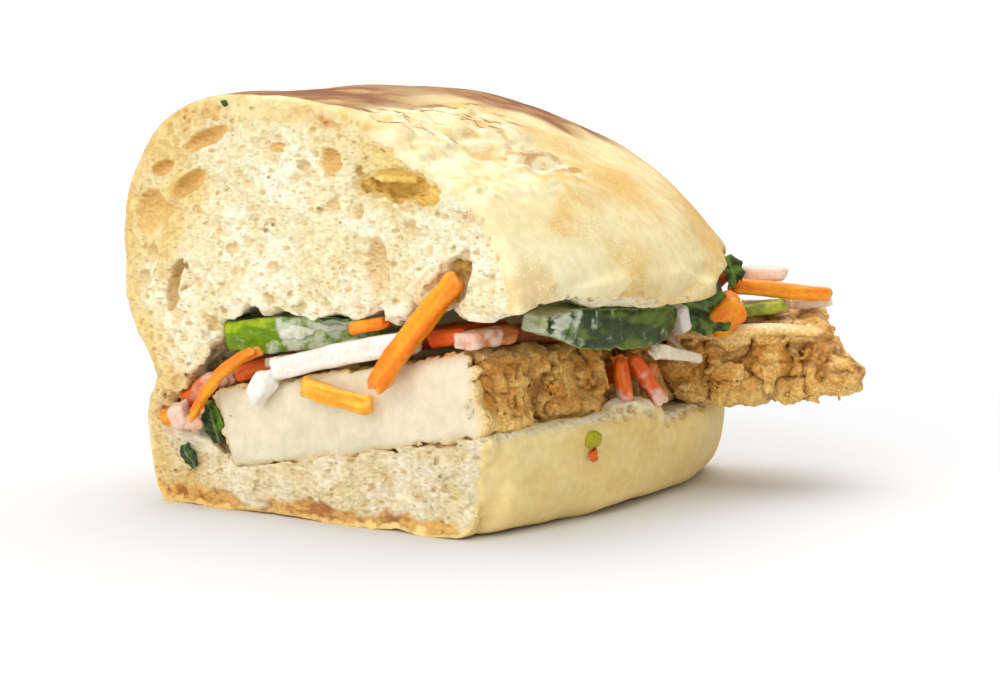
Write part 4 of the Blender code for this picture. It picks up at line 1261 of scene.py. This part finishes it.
def make_specks():
    """Flecks of herb, leek and carrot on the crust, and torn crumbs beside the fillings."""
    rng = np.random.default_rng(72)
    green, leek, carrot, bread = tone(58, 84, 20), tone(176, 172, 22), tone(236, 100, 20), tone(232, 218, 180)
    flecks = [((-20.3, -50.2, 82.3), (0.9, 0.35, 0.6), green), ((48.3, -20.0, 16.7), (0.6, 1.9, 1.5), leek),
              ((48.1, -19.4, 13.6), (0.5, 1.5, 1.4), carrot), ((12.0, -44.0, 78.9), (0.7, 0.3, 0.4), green)]
    for centre in ((40.1, -50.1, 27.3), (40.8, -49.8, 25.2), (40.3, -50.2, 24.2), (39.6, -50.2, 26.0)):
        flecks.append((centre, rng.uniform(0.25, 0.6, 3), bread))
    for _ in range(40):
        x = rng.uniform(-24.0, 38.0)
        flecks.append(((x, CUT_Y + rng.uniform(0.5, 1.6), 10.6 + 0.155 * (x + 24.0) + rng.uniform(-1.4, 0.3)),
                       rng.uniform(0.25, 0.5, 3), bread))
    shape = bmesh.new()
    bmesh.ops.create_icosphere(shape, subdivisions=2, radius=1.0)
    ball = np.array([v.co for v in shape.verts])
    sides = np.array([[v.index for v in face.verts] for face in shape.faces])
    shape.free()
    vertices, faces, colours = [], [], []
    for number, (centre, half, colour) in enumerate(flecks):
        rough = ball * (1.0 + 0.35 * noise(ball + 5.0 * number, 0.7, 603)[:, None])
        faces.append(sides + len(ball) * number)
        vertices.append(rough * half @ turned(rng.uniform(-40, 40), "Z").T + centre)
        colours.append(np.tile(colour, (len(ball), 1)))
    obj = make_object("herb_and_bread_specks", np.concatenate(vertices), np.concatenate(faces))
    put_colour(obj, "colour", np.concatenate(colours))
    add_piece(obj, moist_material("specks", 0.5, 0.1, 0.0008, (1.0, 0.8, 0.5), 0.2, 0.8, 0.1), "herb")


# ------------------------------------------------------------------------------------------ stage
def make_stage():
    data = bpy.data.meshes.new("floor")
    shape = bmesh.new()
    bmesh.ops.create_grid(shape, x_segments=1, y_segments=1, size=3.0)
    shape.to_mesh(data)
    shape.free()
    floor = bpy.data.objects.new("floor", data)
    bpy.context.scene.collection.objects.link(floor)
    paper = Shader("white floor", Roughness=0.9, Specular_IOR_Level=0.1)
    data.materials.append(paper.finish(Base_Color=(0.73, 0.73, 0.735, 1.0)))


def aim(obj, target):
    way = Vector(target) - obj.location
    obj.rotation_euler = way.to_track_quat("-Z", "Y").to_euler()


AMBIENT = 0.42


def add_sun(name, place, spread_angle, strength):
    """Even light from the direction of a place, as soft as a source of that many degrees."""
    lamp = bpy.data.lights.new(name, "SUN")
    lamp.angle, lamp.energy = math.radians(spread_angle), strength
    obj = bpy.data.objects.new(name, lamp)
    bpy.context.scene.collection.objects.link(obj)
    obj.location = place
    aim(obj, (0.0, 0.0, 0.0))


AZIMUTH, ELEVATION, DISTANCE = math.radians(36.0), math.radians(6.4), 0.56
LOOK_AT = (0.0073, 0.0053, 0.0317)


def make_camera():
    lens = bpy.data.cameras.new("camera")
    lens.lens = 95.0
    camera = bpy.data.objects.new("camera", lens)
    bpy.context.scene.collection.objects.link(camera)
    back = Vector((math.sin(AZIMUTH) * math.cos(ELEVATION),
                   -math.cos(AZIMUTH) * math.cos(ELEVATION), math.sin(ELEVATION)))
    camera.location = Vector(LOOK_AT) + back * DISTANCE
    aim(camera, LOOK_AT)
    bpy.context.scene.camera = camera


def make_lights():
    world = bpy.data.worlds.new("studio")
    world.use_nodes = True
    background = world.node_tree.nodes["Background"]
    background.inputs["Color"].default_value = (1.0, 1.0, 1.0, 1.0)
    nodes, links = world.node_tree.nodes, world.node_tree.links
    seen = nodes.new("ShaderNodeLightPath").outputs["Is Camera Ray"]
    strength = nodes.new("ShaderNodeMapRange")
    links.new(seen, strength.inputs["Value"])
    strength.inputs["To Min"].default_value = AMBIENT
    strength.inputs["To Max"].default_value = 1.0
    links.new(strength.outputs["Result"], background.inputs["Strength"])
    bpy.context.scene.world = world
    add_sun("soft box above", (-0.14, 0.24, 1.0), 75.0, 2.52)
    add_sun("front window", (0.10, -1.0, 0.5), 60.0, 1.6)
    bpy.context.scene.view_settings.view_transform = "Standard"


make_camera()
make_lights()
make_stage()
make_bread()

make_tofu("fried_tofu_front", "tofu_front", 81, True, 80000)
make_tofu("fried_tofu_back", "tofu_back", 91, False, 80000,
          (((67.0, 44.0, 25.0), (6.0, 4.5, 3.6), 25.0, False), ((68.5, 41.0, 34.5), (5.5, 7.0, 5.0), 25.0, True)))
make_vegetables()
make_mayonnaise()
make_specks()
